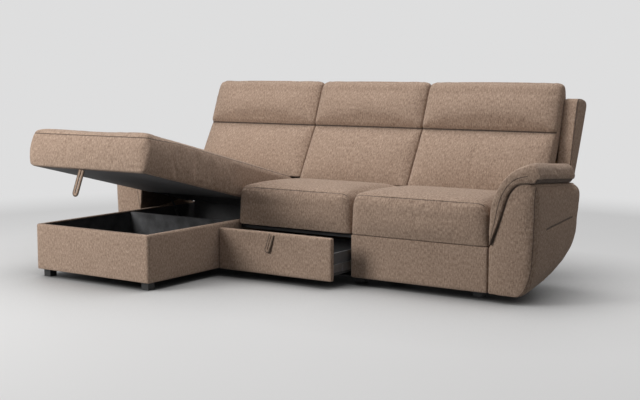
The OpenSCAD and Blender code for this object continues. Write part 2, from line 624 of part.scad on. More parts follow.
lumbar_under = 12;                // cushions behind the seats reach below the seam
lumbar_over = 2;                  // the cushion behind the lid starts this far above it, twice
module back_cushion_left() color(cloth) placed()
    back_cushion(cushion_left, x_mid - gap, lid_z1 + 2 * lumbar_over);
module back_cushion_middle() color(cloth) placed()
    back_cushion(x_mid + gap, x_right - gap, seat_z - lumbar_under);
module back_cushion_right() color(cloth) placed()
    back_cushion(x_right + gap, x_end + cushion_over, seat_z - lumbar_under);

// Lid. It is drawn shut, and lid_pose() turns it to the angle at which it stands.

hinge_up = 68;                    // hinge line above the rim
hinge_y = y_board;
hinge_z = rim_z + hinge_up;
hinge_w = 60;
hinge_in = 150;                   // hinges in from the sides of the chaise
hinge_x = [hinge_in, chaise_w - hinge_in - hinge_w];
pin_over = 2;                     // a pin stands out past its knuckles
knuckle_d = pin_d * 2;
leaf_t = 3;
leaf_h = 52;
lid_behind = 13;                  // rear of the lid before the hinge line
lid_lift = 2;                     // shut lid above the rim
lid_step = 12;                    // top edge of the lid above the seats' seam
lid_side = 1;                     // lid in from the sides of the chaise
lid_rail_t = 20;
lid_slat_t = 12;
slat_n = 9;
slat_w = 70;
lid_frame_in = 6;                 // extra foam before the frame
lid_rear = hinge_y - lid_behind;
lid_z0 = rim_z + lid_lift;
lid_z1 = seat_z + lid_step;
lid_frame_z = lid_z0 + thin_t;
lid_slat_z = lid_frame_z + lid_rail_h;
lid_core_z = lid_slat_z + lid_slat_t;
lid_frame_x = lid_side + lid_foam;
lid_frame_x1 = chaise_w - lid_frame_x;
lid_frame_y = lid_foam + lid_frame_in - lid_nose;
lid_frame_end = lid_rear - thin_t;
module lid_pose() translate([0, hinge_y, hinge_z]) rotate([-lid_angle, 0, 0])
    translate([0, -hinge_y, -hinge_z]) children();

module lid_frame() color(timber) placed() lid_pose() difference() {
    span([lid_frame_x, lid_frame_y, lid_frame_z], [lid_frame_x1, lid_frame_end, lid_slat_z]);
    for (i = [0, 1]) let (h = (lid_frame_end - lid_frame_y - 3 * lid_rail_t) / 2,
        y = lid_frame_y + lid_rail_t + i * (h + lid_rail_t))
        span([lid_frame_x + lid_rail_t, y, lid_frame_z - cut],
            [lid_frame_x1 - lid_rail_t, y + h, lid_slat_z + cut]);
}
module lid_slats() color(timber) placed() lid_pose() for (i = [0:slat_n - 1])
    let (y = lid_frame_y + (lid_frame_end - lid_frame_y - slat_w) * i / (slat_n - 1))
    span([lid_frame_x, y, lid_slat_z], [lid_frame_x1, y + slat_w, lid_core_z]);

lid_panel_end = y_body + 3 * foot_w;
module lid_bottom_panel() color(black) placed() lid_pose()
    span([lid_frame_x, lid_frame_y, lid_z0], [lid_frame_x1, lid_panel_end, lid_frame_z]);

lid_end_r = 24;                   // rounding of the lid's ends
lid_edge_r = 34;                  // rounding of its edges
lid_seam_drop = 24;               // seam below the top edge of the nose
lid_rear_dip = 8;                 // rear below the front edge
lid_seam_in = 3;
lid_top_in = 4;
lid_seam_r = 3;
lid_clear = 16;                   // the spread foam ends this far before the body
lid_seam_z = lid_z1 - lid_seam_drop;
function lid_ring(draw, share) = let (e = draw, f = fullness(share)) outline([
    [[-lid_nose + e / 2, lid_z0 + e / 3], lid_edge_r / 2, 0],
    [[lid_rear - e / 3, lid_z0 + e / 3], lid_edge_r / 4, 0],
    [[lid_rear - e / 3, lid_z1 - lid_rear_dip - e], lid_edge_r, crown * f],
    [[-lid_nose + e / 2 + lid_top_in, lid_z1 - e], lid_edge_r * 3 / 2, 0],
    [[-lid_nose + e / 2 + lid_seam_in, lid_seam_z - e / 2], lid_seam_r, crown * f / 3]], 2, 5);
// How far the foam spreads to the left, at a share of the width and a place in the depth
function flare(share, y) = let (end = y_body - lid_clear)
    lid_flare * pow(1 - share, 4) * max(0, (end - y) / (end + lid_nose));
lid_dome = lid_end_r / 6;
lid_x0 = lid_side + lid_dome;
lid_rings = [for (s = stations(chaise_w - 2 * lid_x0, lid_end_r, 4))
    [for (p = lid_ring(s[1], s[2])) [lid_x0 + s[0] - flare(s[2], p[0]), p[0], p[1]]]];
lid_left_middle = middle(lid_rings[0]);
lid_left_in = lid_x0 - flare(0, lid_left_middle[1]) - lid_left_middle[0];
module lid_cushion() color(cloth) placed() lid_pose() difference() {
    cushion(lid_dome, lid_rings, lid_left_in);
    span([lid_frame_x - gap, lid_frame_y - gap, lid_z0 - cut],
        [lid_frame_x1 + gap, lid_rear + 2 * cut, lid_core_z + gap]);
    span([lid_frame_x - gap, lid_frame_end - gap, lid_z0 - cut],
        [lid_frame_x1 + gap, lid_rear + 2 * cut, hinge_z + knuckle_d / 2 + gap]);
}

// A hinge: the plate's knuckle stands between the two knuckles of the leaf
module knuckle(x0, x1, tongue_y, tongue_z) difference() {
    union() {
        bar_x(x0, x1, hinge_y, hinge_z, knuckle_d);
        span([x0, min(hinge_y, tongue_y), tongue_z], [x1, max(hinge_y, tongue_y), tongue_z + leaf_t]);
    }
    bar_x(x0 - cut, x1 + cut, hinge_y, hinge_z, pin_d + loose);
}
plate_top = hinge_z - knuckle_d / 2;
leaf_top = hinge_z + knuckle_d / 2;
module hinge_plates() color(steel) placed() for (x = hinge_x) {
    knuckle(x + hinge_w / 3, x + 2 * hinge_w / 3, y_chaise_rear, plate_top);
    span([x, y_chaise_rear - leaf_t, plate_top - leaf_h], [x + hinge_w, y_chaise_rear, plate_top]);
}
module hinge_pins() color(steel) placed() for (x = hinge_x)
    bar_x(x - pin_over, x + hinge_w + pin_over, hinge_y, hinge_z, pin_d);
module hinge_leaves() color(steel) placed() lid_pose() for (x = hinge_x) {
    knuckle(x, x + hinge_w / 3 - gap, lid_frame_end, leaf_top - leaf_t);
    knuckle(x + 2 * hinge_w / 3 + gap, x + hinge_w, lid_frame_end, leaf_top - leaf_t);
    span([x, lid_frame_end, leaf_top - leaf_h], [x + hinge_w, lid_frame_end + leaf_t, leaf_top]);
}

// A cloth pull: a strap folded into a flat loop, its two legs side by side
pull_leg = 14;                    // width of a leg
pull_slot = 3;                    // slit between the legs
pull_t = 4;
module pull(l) rotate([90, 0, 0]) linear_extrude(pull_t) difference() {
    union() {
        translate([-pull_leg - pull_slot / 2, -l]) square([2 * pull_leg + pull_slot, l]);
        translate([0, -l]) circle(r = pull_leg + pull_slot / 2, $fn = round_fn);
    }
    translate([-pull_slot / 2, -l]) square([pull_slot, l - pull_leg / 2]);
}
lid_pull_x_share = 0.4535;        // place of the pull in the width of the chaise
lid_pull_x = lid_pull_x_share * chaise_w;
lid_pull_angle = 9;
lid_pull_l = 112;
lid_pull_out = 2;                 // pull before the frame's front
lid_pull_z = lid_z0 - gap - (pull_leg + pull_slot / 2) * sin(lid_pull_angle);
module lid_pull() color(cloth) placed() lid_pose()
    translate([lid_pull_x, lid_frame_y - lid_pull_out, lid_pull_z])
    rotate([0, lid_pull_angle, 0]) pull(lid_pull_l);

// Gas struts: the rod turns on a stud in the lid and the cylinder on a stud in the
// base. Both anchors lie strut_r from the hinge line, so that the strut's direction
// turns by exactly half of the lid's angle.
anchor_drop = 40;                 // lid anchor below the hinge line, lid shut
strut_spread_angle = 65;          // between the anchors, lid shut
shut_angle = asin(anchor_drop / strut_r);
lid_anchor_angle = lid_angle - shut_angle;
base_anchor_angle = -shut_angle - strut_spread_angle;
function anchor(a) = [hinge_y - strut_r * cos(a), hinge_z + strut_r * sin(a)];
lid_anchor = anchor(lid_anchor_angle);
base_anchor = anchor(base_anchor_angle);
shut_anchor = anchor(-shut_angle);
strut_l = 2 * strut_r * sin(strut_spread_angle / 2);      // between the anchors, lid shut
cylinder_l_share = 0.68;
rod_l_share = 0.895;
cylinder_l = cylinder_l_share * strut_l;
rod_l = rod_l_share * strut_l;
eye_t = 10;
eye_d = 18;
stud_d = 8;
stud_over = 4;                    // a stud stands out past its eye
strut_off = 1;                    // cylinder clear of the lid's side rail
strut_x = lid_frame_x + lid_rail_t + strut_off + strut_d / 2;
module at_both_sides() {
    children();
    translate([chaise_w, 0, 0]) mirror([1, 0, 0]) children();
}
module strut_axis(from, to) translate([strut_x, from[0], from[1]])
    rotate([atan2(from[0] - to[0], to[1] - from[1]), 0, 0]) children();
module eye_bar(l, d) translate([-l / 2, 0, 0]) rotate([0, 90, 0]) cylinder(h = l, d = d, $fn = round_fn);
module eye() difference() {
    eye_bar(eye_t, eye_d);
    eye_bar(eye_t + 2 * cut, stud_d + loose);
}
module strut_cylinders() color(black) placed() at_both_sides() strut_axis(base_anchor, lid_anchor) {
    eye();
    difference() {
        translate([0, 0, eye_d / 2 - cut])
            cylinder(h = cylinder_l - eye_d / 2 + cut, d = strut_d, $fn = round_fn);
        translate([0, 0, eye_d]) cylinder(h = cylinder_l, d = rod_d + 2 * loose, $fn = round_fn);
        eye_bar(2 * strut_d, stud_d + loose);
    }
}
module strut_rods() color(steel) placed() at_both_sides() strut_axis(lid_anchor, base_anchor) {
    eye();
    translate([0, 0, eye_d / 2 - cut]) cylinder(h = rod_l - eye_d / 2, d = rod_d, $fn = round_fn);
}
strut_plate = 46;
module strut_base_brackets() color(steel) placed() at_both_sides() let (x = x_left_in + leaf_t) {
    span([x_left_in, base_anchor[0] - strut_plate / 2, base_anchor[1] - strut_plate / 2],
        [x, base_anchor[0] + strut_plate / 2, base_anchor[1] + strut_plate / 2]);
    bar_x(x, strut_x - eye_t / 2 - gap, base_anchor[0], base_anchor[1], stud_d * 3 / 2);
    bar_x(x, strut_x + eye_t / 2 + stud_over, base_anchor[0], base_anchor[1], stud_d);
}
lid_plate = 38;
module strut_lid_brackets() color(steel) placed() lid_pose() at_both_sides()
let (x = lid_frame_x + lid_rail_t) {
    span([x, shut_anchor[0] - lid_plate / 2, shut_anchor[1] - lid_plate / 2],
        [x + leaf_t, shut_anchor[0] + lid_plate / 2, shut_anchor[1] + lid_plate / 2]);
    bar_x(x + leaf_t, strut_x + eye_t / 2 + stud_over, shut_anchor[0], shut_anchor[1], stud_d);
}

// Drawer. Its pieces stand open by drawer_out, and the runners' middle members by half.

drawer_gap = 4;                   // between the drawer front and the chaise
drawer_rise = 6;                  // front board above the bottom edge of its cover
box_rise = 22;                    // drawer box above the upholstery's bottom edge
drawer_x0 = x_mid + drawer_gap;
drawer_x1 = x_right - drawer_gap / 2;
drawer_top = z_deck - drawer_top_gap;
drawer_d = y_board - drawer_back_gap - y_panel_rear;
box_x0 = x_mid + gap + runner_t + gap;
box_x1 = x_divider - gap - runner_t - gap;
box_z0 = leg_h + box_rise;
box_z1 = box_z0 + drawer_side_h;
module drawer_pose(share) placed() translate([0, -drawer_out * share, 0]) children();

module drawer_front_board() color(timber) drawer_pose(1)
    span([drawer_x0 + cover_t, y_body + cover_t, leg_h + drawer_rise],
        [drawer_x1 - cover_t, y_panel_rear, drawer_top - cover_t]);
module drawer_front_cover() color(cloth) drawer_pose(1)
    front_cover(drawer_x0, drawer_x1, y_body, leg_h, drawer_top, cover_t + board_t);
module drawer_box() color(black) drawer_pose(1) difference() {
    span([box_x0, y_panel_rear, box_z0], [box_x1, y_panel_rear + drawer_d, box_z1]);
    span([box_x0 + drawer_t, y_panel_rear - cut, box_z0 - cut],
        [box_x1 - drawer_t, y_panel_rear + drawer_d - drawer_t, box_z1 + cut]);
}
module drawer_bottom() color(black) drawer_pose(1)
    span([box_x0 + drawer_t, y_panel_rear, box_z0],
        [box_x1 - drawer_t, y_panel_rear + drawer_d - drawer_t, box_z0 + 2 * thin_t]);

drawer_pull_x_share = 0.49;       // place of the pull in the width of the middle seat
drawer_pull_l = 78;
drawer_pull_angle = 8;
module drawer_pull() color(cloth) drawer_pose(1)
    translate([x_mid + middle_w * drawer_pull_x_share, y_body - gap, drawer_top - cover_t * 3 / 2])
    rotate([0, drawer_pull_angle, 0]) pull(drawer_pull_l);

// Telescopic runners: two channels nested in each other and a flat member
runner_rise = 36;                 // middle of a runner above the bottom of the drawer box
runner_in = 6;                    // runners behind the drawer's front
runner_short = 20;                // runners shorter than the drawer box
channel_lip = 2;                  // fixed channel is this much shallower than the closed runner
runner_z = box_z0 + runner_rise;
runner_l = drawer_d - runner_short;
module runner_pair() for (s = [0, 1])
    translate([s * (x_divider - gap / 2) + (1 - s) * (x_mid + gap / 2), y_panel_rear + runner_in, runner_z])
    mirror([s, 0, 0]) children();
module channel(x, h, depth) difference() {
    translate([x, 0, -h / 2]) cube([depth, runner_l, h]);
    translate([x + runner_sheet, -cut, runner_sheet - h / 2])
        cube([depth, runner_l + 2 * cut, h - 2 * runner_sheet]);
}
member_step = runner_sheet + gap;         // each member lies this far inside the last
channel_d1 = runner_t - channel_lip;
channel_d2 = channel_d1 - member_step - runner_sheet / 2;
middle_h = runner_h - 2 * member_step;
inner_h = middle_h - 2 * member_step;
module runner_fixed_members() color(steel) drawer_pose(0) runner_pair() channel(0, runner_h, channel_d1);
module runner_middle_members() color(steel) drawer_pose(1 / 2) runner_pair()
    channel(member_step, middle_h, channel_d2);
module runner_drawer_members() color(steel) drawer_pose(1) runner_pair()
    translate([2 * member_step, 0, -inner_h / 2])
    cube([runner_t + gap / 2 - 2 * member_step, runner_l, inner_h]);

// Middle of the whole sofa as it stands, from its outermost pieces
function posed_y(y, z) = hinge_y + (y - hinge_y) * cos(lid_angle) + (z - hinge_z) * sin(lid_angle);
lid_front_y = min([for (ring = lid_rings, p = ring) posed_y(p[1], p[2])]);
pull_front_y = posed_y(lid_frame_y - lid_pull_out - pull_t,
    lid_pull_z - lid_pull_l * cos(lid_pull_angle) - pull_leg - pull_slot / 2);
wing_rear_y = max([for (p = wing_outline()) p[0]]);
panel_rear_y = back_y0 + (back_t + thin_t) * cos(lean_angle) + (post_u1 + thin_t) * sin(lean_angle);
mid_y = (min(lid_front_y, pull_front_y) + max(wing_rear_y, panel_rear_y)) / 2;
mid_x = x_body_end / 2;

chaise_left_board();
chaise_right_board();
chaise_front_board();
chaise_divider_board();
chaise_rear_board();
chaise_bottom_board();
chaise_cover();
storage_lining();
seat_divider_board();
right_end_board();
body_rear_board();
right_front_board();
right_front_cover();
seat_deck_rails();
seat_webbing();
deck_brackets();
middle_seat_cushion();
right_seat_cushion();
underside_cover();
feet();
foot_plates();
arm_right_frame();
arm_right_cover();
arm_right_pad();
arm_left_frame();
arm_left_cover();
arm_left_pad();
arm_bolts();
back_posts();
back_rails();
back_webbing();
back_rear_panel();
back_brackets();
wing_right();
wing_left();
back_cushion_left();
back_cushion_middle();
back_cushion_right();
hinge_plates();
hinge_pins();
strut_base_brackets();
lid_frame();
lid_slats();
lid_bottom_panel();
lid_cushion();
lid_pull();
hinge_leaves();
strut_lid_brackets();
strut_cylinders();
strut_rods();
drawer_front_board();
drawer_front_cover();
drawer_box();
drawer_bottom();
drawer_pull();
runner_drawer_members();
runner_middle_members();
runner_fixed_members();
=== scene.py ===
"""Storage sofa with a lift-up chaise seat and a drawer.

Sizes are in millimetres, in the part's own sofa places: X from the chaise end, Y from
the chaise front, Z from the floor. sofa() turns them into the frame's metres.
"""
import contextlib
import math

import bmesh
import bpy
import numpy as np
from mathutils import Matrix, Vector


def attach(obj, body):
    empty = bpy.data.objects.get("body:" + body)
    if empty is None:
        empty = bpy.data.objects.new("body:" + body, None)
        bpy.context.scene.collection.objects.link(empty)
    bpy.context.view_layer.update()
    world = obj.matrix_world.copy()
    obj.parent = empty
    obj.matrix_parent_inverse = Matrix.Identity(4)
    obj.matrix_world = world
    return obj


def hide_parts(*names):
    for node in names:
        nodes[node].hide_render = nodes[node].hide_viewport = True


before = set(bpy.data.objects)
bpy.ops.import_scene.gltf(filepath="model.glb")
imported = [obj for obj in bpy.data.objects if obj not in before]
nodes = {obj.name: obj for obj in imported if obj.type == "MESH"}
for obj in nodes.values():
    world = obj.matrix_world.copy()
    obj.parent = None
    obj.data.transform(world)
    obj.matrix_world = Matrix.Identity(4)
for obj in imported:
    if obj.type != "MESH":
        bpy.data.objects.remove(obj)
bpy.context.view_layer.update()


# ---- Nodes and objects ----
# What the studio, the materials and the geometry trees are made with.

def wired(tree, kind, inputs=(), **settings):
    """Adds a node with its settings, and its inputs or links. A node given as an input
    stands for its first output."""
    made = tree.nodes.new(kind)
    for key, value in settings.items():
        setattr(made, key, value)
    for key, value in dict(inputs).items():
        if isinstance(value, bpy.types.Node):
            value = value.outputs[0]
        if isinstance(value, bpy.types.NodeSocket):
            tree.links.new(value, made.inputs[key])
        else:
            made.inputs[key].default_value = value
    return made


def calc(tree, operation, *values):
    """A Math node over numbers and links."""
    return wired(tree, "ShaderNodeMath", enumerate(values), operation=operation)


def scaled(tree, colour, by):
    """A colour or vector times a number."""
    return wired(tree, "ShaderNodeVectorMath", {0: colour, "Scale": by}, operation="SCALE")


def stretched(tree, place, by):
    """A place times a number for each direction."""
    return wired(tree, "ShaderNodeVectorMath", {0: place, 1: by}, operation="MULTIPLY")


def mixed(tree, share, first, second):
    """A colour between two others."""
    made = wired(tree, "ShaderNodeMix", {"Factor": share, 6: first, 7: second}, data_type="RGBA")
    return made.outputs[2]


def ranged(tree, value, low, high, to_low=0.0, to_high=1.0, curve="LINEAR"):
    """Turns the range from low to high into the one from to_low to to_high."""
    return wired(tree, "ShaderNodeMapRange", {"Value": value, "From Min": low, "From Max": high,
                 "To Min": to_low, "To Max": to_high}, interpolation_type=curve)


def noise(tree, place, scale, detail, rough=0.5, bent=0.0):
    """Noise from 0 to 1, with scale as the number of its grains in a metre."""
    return wired(tree, "ShaderNodeTexNoise", {"Vector": place, "Scale": scale, "Detail": detail,
                 "Roughness": rough, "Distortion": bent})


def blank_material(name):
    made = bpy.data.materials.new(name)
    made.use_nodes = True
    made.node_tree.nodes.clear()
    return made, made.node_tree


def own_place(tree):
    return wired(tree, "ShaderNodeTexCoord").outputs["Object"]


def stood(name, data):
    """An object in the scene, with its place in its mesh."""
    made = bpy.data.objects.new(name, data)
    bpy.context.collection.objects.link(made)
    return made


# ---- The studio ----
# A pale floor that runs out to a pale background, a large soft lamp at the left front,
# one overhead and a weak one at the right, and the camera at the photograph's angle.

floor_colour = (0.63, 0.63, 0.632)
floor_glow = 0.55                        # share of the floor that is lit evenly, as by a light tent
floor_bounce = (0.17, 0.17, 0.17, 1)     # what the floor throws back on the sofa
background_colour = (0.73, 0.73, 0.732, 1)
floor_radius = 60.0
floor_near, floor_far = 1.9, 4.6         # the floor fades to the background between these
shade_reach, shade_power = 1.0, 2.6      # how far the painted shadow round the sofa reaches on the floor, and how steeply it falls

floor_material, tree = blank_material("studio_floor")
place = own_place(tree)
reach = wired(tree, "ShaderNodeVectorMath", {0: place}, operation="LENGTH").outputs["Value"]
fade = ranged(tree, reach, floor_near, floor_far, curve="SMOOTHSTEP")
ray = wired(tree, "ShaderNodeLightPath").outputs
seen = calc(tree, "MAXIMUM", ray["Is Camera Ray"], ray["Is Glossy Ray"])
seen = calc(tree, "MAXIMUM", seen, ray["Is Transmission Ray"])
# An occlusion mask darkens the floor's colour and its even glow near and under the sofa: painted shadow.
clear = wired(tree, "ShaderNodeAmbientOcclusion", {"Distance": shade_reach}, samples=8).outputs["AO"]
even = calc(tree, "MULTIPLY", calc(tree, "POWER", clear, shade_power), floor_glow)
share = calc(tree, "MULTIPLY", calc(tree, "MAXIMUM", fade, even), seen)
paint = mixed(tree, seen, floor_bounce, scaled(tree, floor_colour, clear))
lit = wired(tree, "ShaderNodeBsdfPrincipled", {"Base Color": paint,
            "Roughness": ranged(tree, noise(tree, place, 3.0, 2.0), 0, 1, 0.5, 0.6)})
glow = wired(tree, "ShaderNodeEmission", {"Color": background_colour, "Strength": 1.0})
both = wired(tree, "ShaderNodeMixShader", {0: share, 1: lit, 2: glow})
wired(tree, "ShaderNodeOutputMaterial", {"Surface": both})

bpy.ops.mesh.primitive_circle_add(vertices=96, radius=floor_radius, fill_type="NGON")
floor = bpy.context.object
floor.name = "studio_floor"
floor.data.materials.append(floor_material)

world = bpy.data.worlds.new("studio")
bpy.context.scene.world = world
world.use_nodes = True
tree = world.node_tree
tree.nodes.clear()
ray = wired(tree, "ShaderNodeLightPath").outputs
room = wired(tree, "ShaderNodeBackground", {"Color": (0.97, 0.98, 1.0, 1), "Strength": 0.10})
pale = wired(tree, "ShaderNodeBackground", {"Color": background_colour, "Strength": 1.0})
seen = calc(tree, "MAXIMUM", ray["Is Camera Ray"], ray["Is Glossy Ray"])
both = wired(tree, "ShaderNodeMixShader", {0: seen, 1: room, 2: pale})
wired(tree, "ShaderNodeOutputWorld", {"Surface": both})


def soft_lamp(name, place, aim, size, power, colour):
    lamp = bpy.data.lights.new(name, "AREA")
    lamp.shape, lamp.size, lamp.energy, lamp.color = "DISK", size, power, colour
    made = stood(name, lamp)
    made.location = place
    made.rotation_euler = (Vector(aim) - Vector(place)).to_track_quat("-Z", "Y").to_euler()


soft_lamp("key_lamp", (-2.45, -3.8, 2.3), (-0.2, -0.6, 0.1), 2.2, 182, (1.0, 0.985, 0.96))
soft_lamp("top_lamp", (0.2, 0.2, 4.4), (0.2, 0.0, 0.3), 3.0, 116, (1.0, 0.985, 0.97))
soft_lamp("side_lamp", (3.0, 0.7, 1.6), (1.3, 0.1, 0.5), 1.2, 7, (1.0, 0.94, 0.88))

azimuth, down = math.radians(34.09), math.radians(6.50)
level = math.cos(down)
looking = Vector((-math.sin(azimuth) * level, math.cos(azimuth) * level, -math.sin(down)))
camera = stood("camera", bpy.data.cameras.new("camera"))
camera.data.lens = 63.76
camera.data.sensor_width = 36
camera.location = (3.38595, -4.83101, 1.0686)
camera.rotation_euler = looking.to_track_quat("-Z", "Y").to_euler()
bpy.context.scene.camera = camera
bpy.context.scene.view_settings.view_transform = "Standard"


# ---- Boards ----
# Every board is sawn softwood or plywood, planed and screwed together under the
# cloth. The grain runs along the board.

def two_tone(tree, value, dark, light, low=0.0, high=1.0):
    """A colour that goes from dark, where the value is low, to light, where it is high."""
    ramp = wired(tree, "ShaderNodeValToRGB", {"Fac": value})
    for stop, place, colour in zip(ramp.color_ramp.elements, (low, high), (dark, light)):
        stop.position, stop.color = place, (*colour, 1)
    return ramp


def bumped(tree, height, strength, distance, **more):
    return wired(tree, "ShaderNodeBump", {"Height": height, "Strength": strength,
                 "Distance": distance, **more})


def surfaced(tree, colour, rough, **more):
    """Ends a material in its shader; in more, _ stands for a space of the input's name."""
    shader = wired(tree, "ShaderNodeBsdfPrincipled", {"Base Color": colour, "Roughness": rough,
                   **{key.replace("_", " "): value for key, value in more.items()}})
    wired(tree, "ShaderNodeOutputMaterial", {"Surface": shader})


def timber(name, along):
    """Planed softwood with its grain along an axis, 0, 1 or 2."""
    made, tree = blank_material(name)
    stretch = [38.0, 38.0, 38.0]
    stretch[along] = 2.6
    laid = stretched(tree, own_place(tree), stretch)
    rings = noise(tree, laid, 0.55, 5.0, 0.62, 0.5)
    pores = noise(tree, laid, 9.0, 2.0)
    wood = two_tone(tree, rings, (0.50, 0.33, 0.17), (0.72, 0.54, 0.33), 0.38, 0.58)
    wood = scaled(tree, wood, ranged(tree, pores, 0.3, 0.6, 0.78))
    surfaced(tree, wood, ranged(tree, pores, 0, 1, 0.55, 0.8), Normal=bumped(tree, pores, 0.25, 0.0006))
    return made


def finish_cad(material, *names):
    """Gives CAD nodes a material."""
    for name in names:
        data = nodes[name].data
        data.materials.clear()
        data.materials.append(material)


timber_x, timber_y, timber_z = (timber(f"planed_timber_{word}", axis)
                                for axis, word in enumerate(("across", "along", "upright")))
finish_cad(timber_x, "body_rear_board", "right_front_board", "back_rails", "lid_slats")
finish_cad(timber_y, "seat_divider_board", "right_end_board", "arm_right_frame", "arm_left_frame")
finish_cad(timber_z, "back_posts")


# ---- Black cloth and black boards ----
# The storage box is lined with black felt, thin black cloth closes the underside, and
# the webs that carry the cushions are woven black straps. All are stapled on.

def black_cloth(name, thread, light):
    """Dull black cloth with a fine thread, in metres."""
    made, tree = blank_material(name)
    place = own_place(tree)
    fibre = noise(tree, place, 1 / thread, 3.0, 0.6)
    level = calc(tree, "MULTIPLY", fibre, noise(tree, place, 14.0, 2.0))
    tone = two_tone(tree, level, (light * 0.6, light * 0.6, light * 0.62),
                    (light * 1.5, light * 1.52, light * 1.6), 0.12, 0.42)
    surfaced(tree, tone, ranged(tree, fibre, 0, 1, 0.8, 1.0), Normal=bumped(tree, fibre, 0.35, thread / 3),
             Specular_IOR_Level=0.2)
    return made


lining_felt = black_cloth("lining_felt", 0.0022, 0.09)
dust_cloth = black_cloth("dust_cloth", 0.0012, 0.036)
web_cloth = black_cloth("web_cloth", 0.0030, 0.020)
finish_cad(lining_felt, "storage_lining")
finish_cad(dust_cloth, "underside_cover", "seat_deck_rails")
finish_cad(web_cloth, "seat_webbing", "back_webbing")


def satin_black(name, light, low, high, pitch):
    """Black board, paint or plastic: a close, slightly uneven surface."""
    made, tree = blank_material(name)
    place = own_place(tree)
    skin = noise(tree, place, 1 / pitch, 4.0)
    scuff = noise(tree, place, 9.0, 6.0, 0.7)
    tone = two_tone(tree, scuff, (light, light, light * 1.06),
                    (light * 1.7, light * 1.7, light * 1.75), 0.35, 0.75)
    surfaced(tree, tone, ranged(tree, scuff, 0.3, 0.7, low, high), Normal=bumped(tree, skin, 0.2, pitch / 5))
    return made


black_board = satin_black("black_board", 0.085, 0.65, 0.8, 0.0016)
# The lid frame is timber; the black board on it is painted shade, for the dark space under the lid.
finish_cad(black_board, "chaise_left_board", "chaise_right_board", "chaise_front_board",
           "chaise_divider_board", "chaise_rear_board", "chaise_bottom_board", "lid_frame",
           "lid_bottom_panel", "drawer_box", "drawer_bottom", "drawer_front_board")


# ---- Feet and steel fittings ----
# Square feet of black moulded plastic on zinc-plated steel plates. The angles and bolts
# are plated too; the struts, the hinges and the struts' brackets are painted black.

black_plastic = satin_black("black_plastic", 0.012, 0.35, 0.5, 0.0009)
finish_cad(black_plastic, "feet")

zinc_steel, tree = blank_material("zinc_steel")
place = own_place(tree)
spangle = wired(tree, "ShaderNodeTexVoronoi", {"Vector": place, "Scale": 160.0})
cloud = noise(tree, place, 60.0, 4.0)
surfaced(tree, two_tone(tree, cloud, (0.20, 0.205, 0.215), (0.33, 0.335, 0.345)),
         ranged(tree, calc(tree, "MULTIPLY", spangle, cloud), 0, 1, 0.38, 0.6), Metallic=0.9,
         Normal=bumped(tree, cloud, 0.08, 0.0004))
finish_cad(zinc_steel, "deck_brackets", "foot_plates", "arm_bolts", "back_brackets",
           "runner_drawer_members", "runner_middle_members", "runner_fixed_members")

black_paint = satin_black("black_paint", 0.020, 0.30, 0.42, 0.0012)
finish_cad(black_paint, "strut_cylinders", "strut_rods", "hinge_pins", "hinge_plates", "hinge_leaves",
           "strut_base_brackets", "strut_lid_brackets")


# ---- The upholstery cloth ----
# One taupe cloth covers the whole sofa: a loose plain weave of thick slubby yarns in
# two shades. The weave lies on each piece's own "cloth" map, which is in metres.

def add_sockets(tree, way, kinds):
    """Gives a node group its named inputs or outputs."""
    for name, kind in kinds.items():
        tree.interface.new_socket(name, in_out=way, socket_type="NodeSocket" + kind)


weave = bpy.data.node_groups.new("melange_weave", "ShaderNodeTree")
add_sockets(weave, "INPUT", {"Vector": "Vector", "Light Yarn": "Color", "Dark Yarn": "Color", "Yarn": "Float",
                             "Line Shade": "Float"})
add_sockets(weave, "OUTPUT", {"Color": "Color", "Roughness": "Float", "Height": "Float"})
given = wired(weave, "NodeGroupInput").outputs
laid = scaled(weave, given["Vector"], calc(weave, "DIVIDE", math.pi, given["Yarn"]))
axes = wired(weave, "ShaderNodeSeparateXYZ", {0: laid}).outputs
crossing = calc(weave, "MULTIPLY", calc(weave, "SINE", axes["X"]), calc(weave, "SINE", axes["Y"]))
over = ranged(weave, crossing, -0.35, 0.35, curve="SMOOTHSTEP")


def slub(sideways, upright, detail):
    """Noise drawn out over a yarn: its size across and along the cloth, in metres."""
    pulled = stretched(weave, given["Vector"], (1 / sideways, 1 / upright, 1))
    return noise(weave, pulled, 1.0, detail, 0.6)


yarn = wired(weave, "ShaderNodeMix", {"Factor": over, "A": slub(0.0040, 0.040, 1.0),
             "B": slub(0.018, 0.0042, 1.0)})
fleck, cloud = slub(0.0066, 0.0150, 1.0), slub(0.11, 0.16, 2.0)
shade = calc(weave, "MULTIPLY_ADD", fleck, 0.56, calc(weave, "MULTIPLY", yarn, 0.34))
shade = calc(weave, "MULTIPLY_ADD", cloud, 0.08, shade)
colour = mixed(weave, ranged(weave, shade, 0.36, 0.64), given["Dark Yarn"], given["Light Yarn"])
speck = ranged(weave, slub(0.0032, 0.0048, 0.0), 0.24, 0.38, 0.80)
height = calc(weave, "MULTIPLY_ADD", yarn, 0.8, calc(weave, "ABSOLUTE", crossing))
# The colour is darkened by the random specks and by the line shade, which is painted shade along seams and
# folds.
wired(weave, "NodeGroupOutput", {
    "Color": scaled(weave, colour, calc(weave, "MULTIPLY", speck, given["Line Shade"])),
    "Roughness": ranged(weave, yarn, 0, 1, 0.82, 0.98),
    "Height": calc(weave, "MULTIPLY_ADD", fleck, 1.1, height)})

on_line, far_off = 1000, 400   # a seam or fold attribute's value on its line, and the most it is off it


